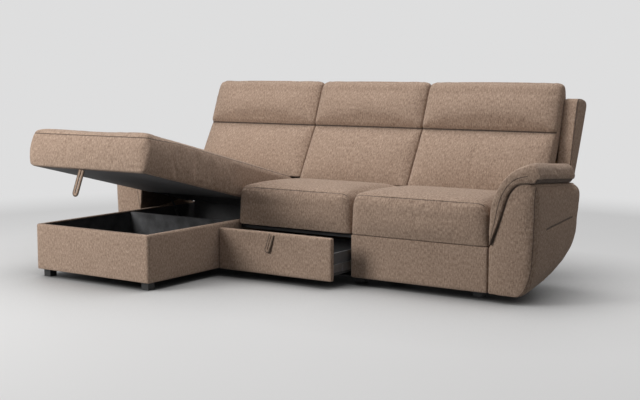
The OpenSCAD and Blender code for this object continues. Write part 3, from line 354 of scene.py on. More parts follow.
def woven(name, light, dark, yarn):
    """Upholstery cloth. A piece's seam and fold attributes are on_line on such a line and
    change by 1 for each millimetre away from it; the line is sunk, and darkened by painted shade as of its
    groove."""
    made, tree = blank_material(name)
    away = []
    for word in ("seam", "fold"):
        line = wired(tree, "ShaderNodeAttribute", attribute_name=word).outputs["Fac"]
        away.append(calc(tree, "ABSOLUTE", calc(tree, "SUBTRACT", line, on_line)))
    # Darker within a few millimetres of a seam or fold: painted shade, as in their grooves.
    line_shade = ranged(tree, calc(tree, "MINIMUM", *away), 1.4, 5.0, 0.32, curve="SMOOTHSTEP")
    cloth = wired(tree, "ShaderNodeGroup", {
        "Vector": wired(tree, "ShaderNodeUVMap", uv_map="cloth"), "Light Yarn": light, "Dark Yarn": dark,
        "Yarn": yarn, "Line Shade": line_shade}, node_tree=weave).outputs
    sunk = bumped(tree, line_shade, 0.6, 0.0022)
    bump = bumped(tree, cloth["Height"], 0.5, 0.0016, Normal=sunk)
    surfaced(tree, cloth["Color"], cloth["Roughness"], Normal=bump, Specular_IOR_Level=0.25,
             Sheen_Weight=0.12, Sheen_Roughness=0.55)
    return made


taupe_cloth = woven("taupe_cloth", (0.505, 0.372, 0.286, 1), (0.262, 0.178, 0.129, 1), 0.0026)

sofa_middle = np.array([1127.85, 807.607, 0.0])


def sofa(points):
    """Sofa places in millimetres to the frame's metres."""
    return (np.asarray(points, float) - sofa_middle) / 1000


def read(items, name, width=1, kind=float):
    """One property of all the points, corners or faces of a mesh."""
    got = np.empty(len(items) * width, kind)
    items.foreach_get(name, got)
    return got.reshape(-1, width) if width > 1 else got


def lay_cloth(mesh):
    """Lays the cloth map on a mesh from the side that each face looks to, in metres."""
    at = read(mesh.vertices, "co", 3)[read(mesh.loops, "vertex_index", kind=int)]
    side = np.argmax(np.abs(read(mesh.polygons, "normal", 3)) * (1.25, 1, 1), axis=1)
    side = np.repeat(side, read(mesh.polygons, "loop_total", kind=int))
    lay = np.take_along_axis(at, np.array([[1, 2], [0, 2], [0, 1]])[side], axis=1)
    layer = mesh.uv_layers.get("cloth") or mesh.uv_layers.new(name="cloth")
    layer.data.foreach_set("uv", lay.ravel())


def draw_line(mesh, name, away):
    """Writes each point's signed distance from a seam or a fold."""
    mesh.attributes.new(name, "FLOAT", "POINT").data.foreach_set(
        "value", (on_line + np.clip(away, -far_off, far_off)).astype(np.float32))


def only_in(window, away):
    """Keeps a line inside a window. Outside it the line is far off, on the side where it was."""
    return np.where(window, away, np.where(away < 0, -far_off, far_off))


def shade_smooth(mesh):
    mesh.polygons.foreach_set("use_smooth", [True] * len(mesh.polygons))


def upholstered(name, points, faces, seam=None):
    """A piece of the cloth from sofa places and faces, smooth, with its cloth map. seam
    gives each point's distance from the nearest seam, with a sign that changes on it."""
    mesh = bpy.data.meshes.new(name)
    mesh.from_pydata(sofa(points).tolist(), [], [list(face) for face in faces])
    mesh.validate()
    shade_smooth(mesh)
    if seam is not None:
        draw_line(mesh, "seam", seam)
    lay_cloth(mesh)
    mesh.materials.append(taupe_cloth)
    return stood(name, mesh)


def cover(piece, body, node):
    """Puts a cloth piece on its body, in the place of its CAD node."""
    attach(piece, body)
    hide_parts(node)


# ---- Chaise base ----
# Padded cloth is glued round the three outer sides of the base, turned in over the
# rim of the storage box and stapled to the boards. Thin cloth covers the rear boards.

for name in ("chaise_rear_board", "body_rear_board", "right_end_board"):
    board = nodes[name].data
    lay_cloth(board)
    board.materials.append(taupe_cloth)
    for face in board.polygons:
        face.material_index = 1 if max(face.normal.x, face.normal.y) > 0.9 else 0

cover_t = 9
base_d, base_z0, base_z1 = 1258, 40, 277
chaise_w = 785
rim_r, hem_r, hem_z = 10.0, 5.0, 270
lip_in, lip_r = 27, 4                            # how far the rim is turned in, and its inner rounding
cloth_off = 3.2                                  # how far the cloth stands off the boards


def arc(centre, radius, start, end, n):
    """Points on an arc, from and to these angles in degrees."""
    angles = np.radians(np.linspace(start, end, n))
    return [(centre[0] + radius * math.cos(a), centre[1] + radius * math.sin(a)) for a in angles]


def u_path(inset, radius, spacing=11.0):
    """A path round the left, front and right sides of the base, inset from its faces."""
    r = max(radius - inset, 1.2)
    x0, x1, y0 = inset, chaise_w - inset, inset
    long_n, front_n = int(base_d / spacing), int(chaise_w / spacing)
    rows = [(x0, y) for y in np.linspace(base_d, y0 + r, long_n)]
    rows += arc((x0 + r, y0 + r), r, 180, 270, 9)[1:]
    rows += [(x, y0) for x in np.linspace(x0 + r, x1 - r, front_n)[1:]]
    rows += arc((x1 - r, y0 + r), r, 270, 360, 9)[1:]
    return np.array(rows + [(x1, y) for y in np.linspace(y0 + r, base_d, long_n)[1:]])


profile = ([(cover_t, base_z0)] + arc((hem_r, base_z0 + hem_r), hem_r, 270, 180, 5)
           + [(0, z) for z in np.linspace(base_z0 + hem_r, base_z1 - rim_r, 20)[1:-1]]
           + arc((rim_r, base_z1 - rim_r), rim_r, 180, 90, 7)
           + arc((lip_in - lip_r, base_z1 - lip_r), lip_r, 90, 0, 4)
           + [(lip_in, hem_z + 0.5), (cover_t, hem_z)]
           + [(cover_t, z) for z in np.linspace(hem_z, base_z0, 8)[1:-1]])
points = []
for inset, z in profile:
    path = u_path(inset, 15)
    fullness = np.zeros(len(path))
    if inset < 1:
        rise, step = (z - base_z0) / (base_z1 - base_z0), np.linspace(0, 1, len(path))
        ripple = 1 + 0.35 * np.sin(step * 61) * np.sin(step * 23 + 1)
        fullness = cloth_off * (4 * rise * (1 - rise)) ** 0.6 * ripple
    from_corner = np.abs(path[:, 1] - inset) + np.minimum(np.abs(path[:, 0] - inset),
                                                          np.abs(path[:, 0] - chaise_w + inset))
    beside = path[:, 1] > inset + 16
    out = np.column_stack([np.where(beside, np.sign(path[:, 0] - chaise_w / 2), 0), np.where(beside, 0, -1)])
    path = path + out * (fullness * np.minimum(1, from_corner / 90))[:, None]
    points.append(np.column_stack([path, np.full(len(path), z)]))
rows, cols = len(points), len(points[0])
faces = [(i * cols + j, i * cols + j + 1, (i + 1) % rows * cols + j + 1, (i + 1) % rows * cols + j)
         for i in range(rows) for j in range(cols - 1)]
faces += [[i * cols for i in range(rows)], [i * cols + cols - 1 for i in range(rows)][::-1]]
cover(upholstered("chaise_cover_cloth", np.concatenate(points), faces), "base", "chaise_cover")


# ---- Front panels ----
# The board below the right seat and the drawer front are wrapped in the same padded
# cloth, pulled round their edges and stapled behind.

def pad_grid(low, high, radius, swell, spacing):
    """A closed padded block with rounded edges; swell is how far each pair of faces
    stands proud."""
    low, high = np.array(low, float), np.array(high, float)
    ticks = []
    for a, b in zip(low, high):
        r = min(radius, (b - a) / 2.05)
        ends = a + r * (1 - np.cos(np.linspace(0, math.pi / 2, 5)))
        n = max(2, int((b - a - 2 * r) / spacing))
        ticks.append(np.concatenate([ends, np.linspace(a + r, b - r, n + 1)[1:-1], (a + b - ends)[::-1]]))
    index, points, faces = {}, [], []

    def corner(i, j, k):
        key = (i, j, k)
        if key not in index:
            index[key] = len(points)
            points.append((ticks[0][i], ticks[1][j], ticks[2][k]))
        return index[key]

    counts = [len(t) for t in ticks]
    for axis in range(3):
        u, v = (axis + 1) % 3, (axis + 2) % 3
        for end in (0, counts[axis] - 1):
            for i in range(counts[u] - 1):
                for j in range(counts[v] - 1):
                    ring = []
                    for du, dv in ((0, 0), (1, 0), (1, 1), (0, 1)):
                        at = [0, 0, 0]
                        at[axis], at[u], at[v] = end, i + du, j + dv
                        ring.append(corner(*at))
                    faces.append(ring if end else ring[::-1])
    points = np.array(points)
    reach = np.minimum(radius, (high - low) / 2.05)
    core = np.clip(points, low + reach, high - reach)
    away = (points - core) / reach
    size = np.linalg.norm(away, axis=1)
    size[size == 0] = 1
    largest = np.max(np.abs(away), axis=1)
    points = core + away / size[:, None] * reach * np.where(largest > 0, 1, 0)[:, None]
    share = (points - low) / (high - low)
    full = 1 - np.abs(2 * share - 1) ** 4
    for axis in range(3):
        u, v = (axis + 1) % 3, (axis + 2) % 3
        lift = swell[axis] * np.sqrt(np.clip(full[:, u] * full[:, v], 0, 1))
        points[:, axis] += np.where(share[:, axis] > 0.999, lift, np.where(share[:, axis] < 0.001, -lift, 0))
    return points, faces


def applied(piece, modifier):
    """Makes a piece with its modifier a plain mesh."""
    made = bpy.data.meshes.new_from_object(piece.evaluated_get(bpy.context.evaluated_depsgraph_get()))
    piece.modifiers.remove(modifier)
    old, piece.data = piece.data, made
    bpy.data.meshes.remove(old)
    made.name = piece.name


@contextlib.contextmanager
def edited(mesh):
    """Opens a mesh for an edit, and writes it back."""
    edit = bmesh.new()
    edit.from_mesh(mesh)
    yield edit
    edit.to_mesh(mesh)
    edit.free()


def hollowed(piece, *boxes, inner=None):
    """Cuts boxes of sofa places out of a piece; the cut faces take the inner material."""
    for low, high in boxes:
        mesh = bpy.data.meshes.new("hollow")
        with edited(mesh) as edit:
            bmesh.ops.create_cube(edit, size=1.0)
            for v in edit.verts:
                v.co = Vector(sofa(low) + (np.array(v.co) + 0.5) * (sofa(high) - sofa(low)))
        if inner:
            mesh.materials.append(inner)
        cutter = stood("hollow", mesh)
        cut = piece.modifiers.new("hollow", "BOOLEAN")
        cut.operation, cut.solver, cut.object = "DIFFERENCE", "EXACT", cutter
        cut.material_mode = "TRANSFER" if inner else "INDEX"
        applied(piece, cut)
        bpy.data.objects.remove(cutter)
        bpy.data.meshes.remove(mesh)
    sharp_cut(piece)


def sharp_cut(piece):
    """Keeps smooth shading only across shallow edges."""
    with edited(piece.data) as edit:
        for edge in edit.edges:
            if len(edge.link_faces) == 2 and edge.calc_face_angle(0) > math.radians(50):
                edge.smooth = False


def front_panel(name, node, x0, x1, y, z1, body):
    """A panel, hollow behind for its board; it stays clear of the boards beside it."""
    thick, side_room, rear_room = 27, 0.8, 1.5
    points, faces = pad_grid((x0, y, base_z0), (x1, y + thick, z1), 7.5, (1.2, 2.6, 1.0), 10)
    points[:, 0] = np.maximum(points[:, 0], x0 + side_room)
    points[:, 1] = np.minimum(points[:, 1], y + thick - rear_room)
    made = upholstered(name, points, faces)
    hollowed(made, ((x0 + cover_t, y + cover_t, base_z0 - 5), (x1 - cover_t, y + 40, z1 - cover_t)))
    cover(made, body, node)


middle_x, right_x, end_x = chaise_w, 1495, 2250  # where the two seats and the right arm begin
body_y, deck_z, drawer_out = 706, 258, 170
drawer_y = body_y - drawer_out
front_panel("right_front_panel", "right_front_cover", right_x + 4, end_x - 2, body_y, deck_z - 2, "base")
front_panel("drawer_front_panel", "drawer_front_cover", middle_x + 4, right_x - 2, drawer_y, deck_z - 3,
            "drawer")


# ---- Seat cushions ----
# Two foam cushions in sewn covers: a boxed front, a crowned top that meets it in a
# sewn edge, and ends that the stuffing rounds out. Each rests on its deck of webs.

def corner_points(a, v, b, r, n):
    """A corner rounded over a length r, between the sides a-v and v-b."""
    to_a, to_b = a - v, b - v
    long_a, long_b = np.linalg.norm(to_a), np.linalg.norm(to_b)
    p = v + to_a / long_a * min(r, long_a * 0.42)
    q = v + to_b / long_b * min(r, long_b * 0.42)
    t = np.linspace(0, 1, n + 1)[:, None]
    return (1 - t) ** 2 * p + 2 * t * (1 - t) * v + t * t * q


def outline(corners, corner_n, side_ns):
    """A closed outline: corners [point, rounding, crown of the next side], points per side."""
    n = len(corners)
    at = [np.array(c[0], float) for c in corners]
    turns = [corner_points(at[i - 1], at[i], at[(i + 1) % n], corners[i][1], corner_n) for i in range(n)]
    made = []
    for i in range(n):
        made.append(turns[i])
        p, q = turns[i][-1], turns[(i + 1) % n][0]
        d = q - p
        out = np.array([d[1], -d[0]]) / max(np.linalg.norm(d), 1e-9)
        t = (np.arange(1, side_ns[i]) / side_ns[i])[:, None]
        made.append(p + d * t + out * corners[i][2] * 4 * t * (1 - t))
    return np.concatenate(made)


def side_counts(corners, spacing):
    """How many steps each side of an outline takes."""
    at = [np.array(c[0], float) for c in corners]
    return [max(2, round(np.linalg.norm(at[(i + 1) % len(at)] - p) / spacing)) for i, p in enumerate(at)]


def fullness_at(share):
    return 1 - abs(2 * share - 1) ** 3


def corner_index(steps, corner_n, corner):
    """Where the middle of a corner lies in an outline."""
    return sum(corner_n + n for n in steps[:corner]) + corner_n // 2


def ladder_end(ring, pole, axis, sign, dome, n):
    """Closes a ring by a ladder of rungs across it, from the point nearest to pole on."""
    others = [i for i in range(3) if i != axis]
    start = int(np.argmin(np.sum((ring[:, others] - pole) ** 2, axis=1)))
    across = ring[(2 * start - np.arange(len(ring))) % len(ring)]
    soft = np.minimum(1, np.linalg.norm(ring - across, axis=1) / 90)
    caps = []
    for k in range(1, n + 1):
        cap = ring + (across - ring) * k / n / 2
        cap[:, axis] += sign * dome * (1 - (1 - k / n) ** 2) * soft
        caps.append(cap)
    return caps


def closed(rings, poles, axis, domes, n):
    """Rings with both ends closed, each with its own pole and dome."""
    return (ladder_end(rings[0], poles[0], axis, -1, domes[0], n)[::-1] + rings
            + ladder_end(rings[-1], poles[1], axis, 1, domes[1], n))


def cushion_rings(x0, x1, end_r, section, pole, dome, spacing, cap_n=8):
    """Rings across a cushion, with its ends rounded and closed. section(drawn in, share
    of the width) gives points in Y and Z."""
    width = x1 - x0
    places = [((1 - math.cos(a)) * end_r, (1 - math.sin(a)) * end_r) for a in np.linspace(0, math.pi / 2, 8)]
    steps = max(4, round((width - 2 * end_r) / spacing))
    rows = places + [(end_r + (width - 2 * end_r) * i / steps, 0) for i in range(1, steps)]
    rows += [(width - s, e) for s, e in reversed(places)]
    rings = []
    for s, e in rows:
        yz = section(e, s / width)
        rings.append(np.column_stack([np.full(len(yz), x0 + s), yz]))
    return closed(rings, (pole, pole), 0, (dome, dome), cap_n)


def along(rings, index, cap_n=8):
    """Each point's signed distance along its ring from the ring's point at index. On
    the closed ends it grows away from the last open ring."""
    made = []
    for number, ring in enumerate(rings):
        edge = rings[min(max(number, cap_n), len(rings) - 1 - cap_n)]
        step = np.linalg.norm(np.diff(np.vstack([edge, edge[:1]]), axis=0), axis=1)
        place = np.concatenate([[0], np.cumsum(step)[:-1]])
        gone = (place - place[index] + step.sum() / 2) % step.sum() - step.sum() / 2
        made.append(gone + np.where(gone < 0, -1, 1) * np.linalg.norm(ring - edge, axis=1))
    return np.concatenate(made)


def nearest_on(points, line):
    """For each point in Y and Z, the nearest place on an open line."""
    best, away = np.zeros_like(points), np.full(len(points), 1e18)
    for a, b in zip(line[:-1], line[1:]):
        d = b - a
        t = np.clip(((points - a) @ d) / (d @ d), 0, 1)[:, None]
        at = a + d * t
        gap = np.sum((points - at) ** 2, axis=1)
        better = gap < away
        best[better], away[better] = at[better], gap[better]
    return best


def ring_faces(n, m):
    """Faces of n stacked rings of m points."""
    return [(i * m + j, (i + 1) * m + j, (i + 1) * m + (j + 1) % m, i * m + (j + 1) % m)
            for i in range(n - 1) for j in range(m)]


def merged(piece, reach=0.0006):
    """Merges points that lie on each other, as where an end closes on its rungs."""
    with edited(piece.data) as edit:
        bmesh.ops.remove_doubles(edit, verts=edit.verts, dist=reach)
        bmesh.ops.dissolve_degenerate(edit, edges=edit.edges, dist=reach / 4)
        loose = [v for v in edit.verts if not v.link_faces]
        bmesh.ops.delete(edit, geom=loose, context="VERTS")
        bmesh.ops.recalc_face_normals(edit, faces=edit.faces)


def stuffed(piece, held, pressure, cap, frames=16):
    """Fills a sewn cover with a cloth simulation. held says, for each point, how firmly
    seams, boards and webs hold it, and no point moves further than cap."""
    scene = bpy.context.scene
    group = piece.vertex_groups.new(name="sewn")
    for level in np.unique(np.round(held, 2)):
        if level > 0:
            group.add(np.nonzero(np.round(held, 2) == level)[0].tolist(), float(level), "REPLACE")
    scene.frame_set(1)
    cloth = piece.modifiers.new("stuffing", "CLOTH")
    cloth.point_cache.frame_end = frames
    rules = cloth.settings
    rules.quality, rules.mass = 4, 0.3
    rules.tension_stiffness = rules.compression_stiffness = 12
    rules.shear_stiffness, rules.bending_stiffness = 4, 0.6
    rules.use_pressure, rules.uniform_pressure_force = True, pressure
    rules.effector_weights.gravity = 0
    rules.vertex_group_mass = "sewn"
    rules.shrink_min = -0.012
    for number in range(1, frames + 1):
        scene.frame_set(number)
    start = read(piece.data.vertices, "co", 3)
    filled = piece.evaluated_get(bpy.context.evaluated_depsgraph_get())
    moved = read(filled.data.vertices, "co", 3) - start
    length = np.linalg.norm(moved, axis=1)
    limit = cap * np.tanh(length / cap) / np.maximum(length, 1e-9)
    piece.modifiers.remove(cloth)
    piece.vertex_groups.remove(group)
    piece.data.vertices.foreach_set("co", (start + moved * limit[:, None]).ravel())
    piece.data.update()
    scene.frame_set(1)


def near_row(points, line, reach):
    """1 on a line in Y and Z, falling to 0 at a distance of reach."""
    gap = np.linalg.norm(points[:, 1:] - nearest_on(points[:, 1:], np.array(line, float)), axis=1)
    return np.clip(1 - gap / reach, 0, 1)


def near(away, reach):
    """1 on a face or nearer, falling to 0 at a distance of reach."""
    return np.clip(1 - away / reach, 0, 1)


def soft_piece(name, rings, seam, held_at, pressure, cap, body, node, fold=None):
    """A stuffed cushion from rings: its cover is sewn, filled, rounded out and put on its body in the place
    of its CAD node.
    """
    made = upholstered(name, np.concatenate(rings), ring_faces(len(rings), len(rings[0])), seam=seam)
    if fold is not None:
        draw_line(made.data, "fold", fold)
    merged(made)
    if pressure:
        stuffed(made, held_at(read(made.data.vertices, "co", 3) * 1000 + sofa_middle), pressure, cap)
    rounding = made.modifiers.new("rounding", "SUBSURF")
    rounding.levels = rounding.render_levels = 1
    applied(made, rounding)
    lay_cloth(made.data)
    shade_smooth(made.data)
    cover(made, body, node)
    return made


seam_z, seat_front, seat_rear, seat_z0 = 462, 700, 1250, 258.3
seat_crown, cushion_r, seat_end_r = 16, 44, 58
seat_steps = side_counts([[(y, z)] for y, z in (
    (seat_front, seat_z0), (seat_rear, seat_z0), (seat_rear, seam_z), (seat_front, seam_z + 3),
    (seat_front, seam_z), (seat_front, seam_z - 30))], 11)
seat_steps[3] = seat_steps[4] = 3


def seat_section(e, share):
    full = fullness_at(share)
    return outline([
        ((seat_front + e / 3, seat_z0), 10, 0),
        ((seat_rear, seat_z0), 10, 0),
        ((seat_rear, seam_z - 6 - e / 2), cushion_r, seat_crown * full),
        ((seat_front + e / 2 + 26, seam_z + 5 - e), 14, 0),
        ((seat_front + e / 2 + 12, seam_z - 6 - e), 10, 4),
        ((seat_front + e / 2, seam_z - cushion_r - e), cushion_r, seat_crown * full / 3)], 5, seat_steps)


def seat_cushion(name, node, x0, x1):
    rings = cushion_rings(x0 + 4, x1 - 4, seat_end_r, seat_section, (seat_front, 350), 4.0, 11)
    across = np.concatenate(rings)[:, 0]
    seam = along(rings, corner_index(seat_steps, 5, 4)) * 1.7

    def held(at):
        sewn = near_row(at, [(seat_front + 16, seam_z + 2), (seat_front + 17, seam_z + 2.5)], 9)
        return np.maximum.reduce([near(at[:, 2] - seat_z0, 20), near(seat_rear - at[:, 1], 12),
                                  near(np.minimum(at[:, 0] - x0, x1 - at[:, 0]), 18), sewn])

    soft_piece(name, rings, only_in(np.minimum(across - x0, x1 - across) > 22, seam), held, 3.0, 0.010,
               "base", node)


seat_cushion("middle_seat_cover", "middle_seat_cushion", middle_x, right_x)
seat_cushion("right_seat_cover", "right_seat_cushion", right_x, end_x)


# ---- Arms ----
# Each arm is a plywood frame inside a padded, sewn body. A rolled pad lies over it and
# comes down beside the seat as a tail. The body's front corner is a sewn seam. X runs
# outward from beside the seat, until arm_place puts the rings at the left or the right.

arm_w, arm_z, arm_rear = 234, 655, 1260
arm_in = (3.7, 2252)                             # the inner faces of the left and the right arm
tail_z = 273                                     # the lower end of the pad's tail
skin, sole_x = 4, 152                            # the body's inner face, and the outer edge of its sole
pad_shares = [
    ((0.040, 0.417), (0.070, 0.417)), ((0.032, 0.490), (0.155, 0.497)), ((0.038, 0.579), (0.245, 0.583)),
    ((0.064, 0.680), (0.325, 0.668)), ((0.150, 0.775), (0.405, 0.752)), ((0.296, 0.864), (0.500, 0.810)),
    ((0.500, 0.937), (0.620, 0.844)), ((0.705, 0.976), (0.755, 0.856)), ((0.910, 0.998), (0.905, 0.860)),
    ((1.030, 0.976), (0.985, 0.866)), ((1.075, 0.930), (1.040, 0.890))]
side_shares = [(0.905, 0.856), (0.975, 0.826), (1.008, 0.765), (1.000, 0.620), (0.985, 0.470),
               (0.940, 0.240), (0.855, 0.118), (0.740, 0.072)]
length_shares = [(0, 0.061), (0.14, 0.070), (0.35, 0.100), (0.56, 0.140), (0.76, 0.195), (0.90, 0.262),
                 (0.965, 0.33), (1.00, 0.42)]
size = np.array([arm_w, arm_z])
dart_y, dart_long, dart_z, dart_rise, dart_x = 100, 430, 343, 32, 170


def smooth_line(points, n):
    """A smooth curve through points, with n steps between neighbours."""
    p = np.array(points, float)
    p = np.vstack([2 * p[0] - p[1], p, 2 * p[-1] - p[-2]])
    made = []
    for i in range(1, len(p) - 2):
        t = np.linspace(0, 1, n, endpoint=False)[:, None]
        made.append(0.5 * (2 * p[i] + (p[i + 1] - p[i - 1]) * t
                           + (2 * p[i - 1] - 5 * p[i] + 4 * p[i + 1] - p[i + 2]) * t ** 2
                           + (3 * p[i] - p[i - 1] - 3 * p[i + 1] + p[i + 2]) * t ** 3))
    return np.vstack(made + [p[-2:-1]])


pad_top = smooth_line([np.array(s[0]) * size for s in pad_shares], 5)
pad_low = smooth_line([np.array(s[1]) * size for s in pad_shares], 5)


def off_line(at, line):
    """How far places in a plane lie from a line through points."""
    a, b = line[:-1][None], line[1:][None]
    t = np.clip(((at[:, None] - a) * (b - a)).sum(2) / ((b - a) ** 2).sum(2), 0, 1)
    return np.sqrt(((at[:, None] - a - (b - a) * t[..., None]) ** 2).sum(2)).min(1)


def arm_sink(y, z):
    """The top of an arm falls towards the rear, its tail doesn't."""
    return 30 * np.clip((y - 760) / 400, 0, 1) * np.clip((z - tail_z) / 300, 0, 1)


def unsunk(points, x=None):
    """X, or another way across, and Z of places on an arm, before its top falls."""
    across = points[:, 0] if x is None else x
    return np.column_stack([across, points[:, 2] + arm_sink(points[:, 1], points[:, 2])])


def by_pad(at, right, reach):
    """How far finished places are from the arm's inner face, and how near they are to
    the pad's lower line."""
    across = np.abs(at[:, 0] - arm_in[right])
    return across, near_row(np.column_stack([across, unsunk(at, across)]), pad_low, reach)


def pad_ring(y, over, under, sunk):
    """One ring of the pad; over and under are how full it is above and below its middle."""
    middle = (pad_top + pad_low) / 2
    n = len(pad_top)
    drop = sunk * (np.arange(n) / n)[:, None] * (0, 1)
    top = middle + (pad_top - middle) * over - drop
    low = middle + (pad_low - middle) * under - drop
    ring = np.vstack([top, arc_between(top[-1], low[-1], 5), low[::-1], arc_between(low[0], top[0], 3)])
    return np.column_stack([ring[:, 0], np.full(len(ring), y), ring[:, 1]])


def arc_between(a, b, n):
    """Points on a half circle from a to b, without its ends."""
    a, b = np.array(a), np.array(b)
    middle, half = (a + b) / 2, (b - a) / 2
    side = np.array([-half[1], half[0]])
    angles = np.linspace(0, math.pi, n + 2)[1:-1][:, None]
    return middle - half * np.cos(angles) + side * np.sin(angles) * 0.55


def pad_rings(y0, y1):
    """The pad's front is a rounded nose before the arm's body, and its rear is rounded
    down to the body. Its lower side stays on the body throughout."""
    nose, nose_out, tip_rear = 26, 14, 80
    rings = []
    for b in np.linspace(0.04, math.pi / 2, 10):
        past = nose * (1 - math.cos(b))
        under = 1 - 0.30 * max(0, 1 - past / nose_out)
        rings.append(pad_ring(y0 + past, 0.74 + 0.26 * math.sin(b), under, 0))
    rings += [pad_ring(y, 1, 1, 0) for y in np.linspace(y0 + nose, y1 - tip_rear, 34)[1:-1]]
    for b in np.linspace(math.pi / 2, 0.05, 11):
        drawn = 1 - math.sin(b)
        ring = pad_ring(y1 - tip_rear * (1 - math.cos(b)), 1 - 1.15 * drawn, 1, 10 * drawn)
        ring[:, 0] -= 62 * drawn * np.clip((ring[:, 0] - 120) / 130, 0, 1)
        rings.append(ring)
    for ring in rings:
        ring[:, 2] -= arm_sink(ring[:, 1], ring[:, 2])
    return rings


def arm_place(rings, right):
    """Rings in the arm's own space to sofa places."""
    way = 1 if right else -1
    return [np.column_stack([arm_in[right] + way * ring[:, 0], ring[:, 1:]]) for ring in rings]


def arm_pad(name, node, y0, y1, right):
    rings, nose_rear = pad_rings(y0, y1), 24
    tail = (pad_top[0] + pad_low[0]) / 2
    rings = closed(rings, (tail, tail), 1, (7, 3), 4)
    points = np.concatenate(rings)
    flat = unsunk(points)
    low, front = off_line(flat, pad_low), (points[:, 1] < y0 + nose_rear) & (points[:, 0] < 205)
    seam = np.minimum(low, off_line(flat, pad_top[:13]) + 1) * 0.9
    # The fold at the pad's front is darkened in the cloth: painted shade in the crease.
    fold = only_in(front, low - off_line(flat, pad_top) * 0.7)
    soft_piece(name, arm_place(rings, right), seam, lambda at: np.clip(by_pad(at, right, 9)[1] * 1.6, 0, 1),
               1.5, 0.003, "base", node, fold=fold)


def dart(points, y0):
    """How far places lie along the dart on an arm's outer side, as a share, and above it."""
    reach = (points[:, 1] - y0 - dart_y) / dart_long
    return reach, points[:, 2] - dart_z - dart_rise * reach


def arm_ring(y, y0):
    """One ring round an arm's body, from the bottom inside, up, over and down outside."""
    share = (y - y0) / (arm_rear - y0)
    low = np.interp(share, [s[0] for s in length_shares], [s[1] for s in length_shares]) * arm_z
    inner = [(skin, z) for z in np.linspace(base_z0, tail_z, 18)[:-1]]
    under = pad_low[:-9] + (0.4, -0.4)
    outer = smooth_line([np.array(s) * size for s in side_shares] + [(sole_x, base_z0)], 6)
    foot = [(x, base_z0) for x in np.linspace(sole_x, skin, 14)[1:-1]]
    ring = np.vstack([inner, under, outer, foot])
    waist = np.interp(share, [0, 0.5, 1], [0, 0, 6])
    ring[:, 0] = np.where(ring[:, 0] > 60, ring[:, 0] - waist * (ring[:, 0] - 60) / (arm_w - 60), ring[:, 0])
    top = ring[:, 1].max()
    drop = np.interp(share, [0, 0.80, 0.88, 0.95, 1], [0, 0, 5, 22, 58])
    ring[:, 1] = low + (ring[:, 1] - base_z0) * (top - drop - low) / (top - base_z0)
    ring[:, 1] -= arm_sink(y, ring[:, 1])
    return np.column_stack([ring[:, 0], np.full(len(ring), y), ring[:, 1]])


def arm_body(name, node, y0, right):
    """The body's front and rear are rounded, and its cover is drawn in along a dart on
    the outer side."""
    corner = 34

    def rounded(b, end, way, inner, wide):
        """A ring of the rounded front or rear; its outer side is drawn in past inner."""
        ring = arm_ring(end + way * corner * (1 - math.cos(b)), y0)
        ring[:, 0] -= corner * (1 - math.sin(b)) * np.clip((ring[:, 0] - inner) / wide, 0, 1)
        return ring

    rings = [rounded(b, y0, 1, 140, 80) for b in np.linspace(0.03, math.pi / 2, 9)]
    rings += [arm_ring(y, y0) for y in np.linspace(y0 + corner, arm_rear - corner, 46)[1:-1]]
    rings += [rounded(b, arm_rear, -1, 90, 100) for b in np.linspace(math.pi / 2, 0.05, 8)]
    for ring in rings:
        reach, above = dart(ring, y0)
        window = np.clip(np.minimum(reach, 0.86 - reach) * 5, 0, 1) * (ring[:, 0] > dart_x)
        ring[:, 0] -= window * (8 * np.exp(-(above / 10) ** 2) - 2.5 * np.exp(-((above + 30) / 22) ** 2))
    rings = closed(rings, [(80, rings[end][:, 2].min()) for end in (0, -1)], 1, (5, 3), 9)
    points = np.concatenate(rings)
    seam_x = np.interp(points[:, 2], [40, 70, 110, 170, 320, 560], [160, 186, 205, 218, 226, 229]) - 5
    seam = only_in(points[:, 1] < y0 + 20, (seam_x - points[:, 0]) * 3.2)
    seam = np.sign(seam) * np.minimum(np.abs(seam), off_line(unsunk(points), pad_low) * 0.8)
    reach, above = dart(points, y0)
    # The dart's fold is darkened in the cloth: painted shade in the crease.
    fold = only_in((reach > 0.04) & (reach < 0.82) & (points[:, 0] > dart_x), above * 0.7)

    def held(at):
        across, top = by_pad(at, right, 14)
        return np.maximum(near(across - skin, 10), np.clip(top * 1.5, 0, 1))

    soft_piece(name, arm_place(rings, right), seam, held, 0.8, 0.0025, "base", node, fold=fold)


left_back = 110                                  # how much further back the left arm begins
arm_body("arm_right_body", "arm_right_cover", body_y, True)
arm_body("arm_left_body", "arm_left_cover", body_y + left_back, False)
arm_pad("arm_right_roll", "arm_right_pad", body_y - 14, arm_rear - 90, True)
arm_pad("arm_left_roll", "arm_left_pad", body_y - 14 + left_back, arm_rear - 90, False)


# ---- Back frame, wings and rear panel ----
# Padded wings close the sides of the leaning frame, and cloth over thin foam closes
# its rear, sewn from three widths. The frame's outward faces wear the same cloth, and
# its low front faces wear black cloth.

for name in ("back_posts", "back_rails"):
    frame_part = nodes[name].data
    lay_cloth(frame_part)
    frame_part.materials.append(taupe_cloth)
    frame_part.materials.append(dust_cloth)
    for face in frame_part.polygons:
        face.material_index = 1 if face.normal.y > -0.3 else 2 if face.center.z < 0.52 else 0

lean_share, back_y0, back_z = 0.408, 1200, 905
lean = math.atan(lean_share)
back_t = 75
rear_of_frame = back_y0 + (back_t + 4) / math.cos(lean)
wing_low = 520
wing_corners = [((back_y0 + lean_share * back_z - 36, back_z + 25), 30, 3),
                ((back_y0 + lean_share * wing_low + 22, wing_low), 6, 0),
                ((rear_of_frame + lean_share * wing_low, wing_low), 6, 3),
                ((rear_of_frame + lean_share * back_z, back_z + 8), 40, 2)]
wing_steps = side_counts(wing_corners, 10)


def wing_section(e, _):
    k = e * 0.9
    shift = [(k, -k), (k, k), (-k, k), (-k, -k)]
    return outline([((y + dy, z + dz), max(r - e / 2, 6), crown)
                    for ((y, z), r, crown), (dy, dz) in zip(wing_corners, shift)], 7, wing_steps)


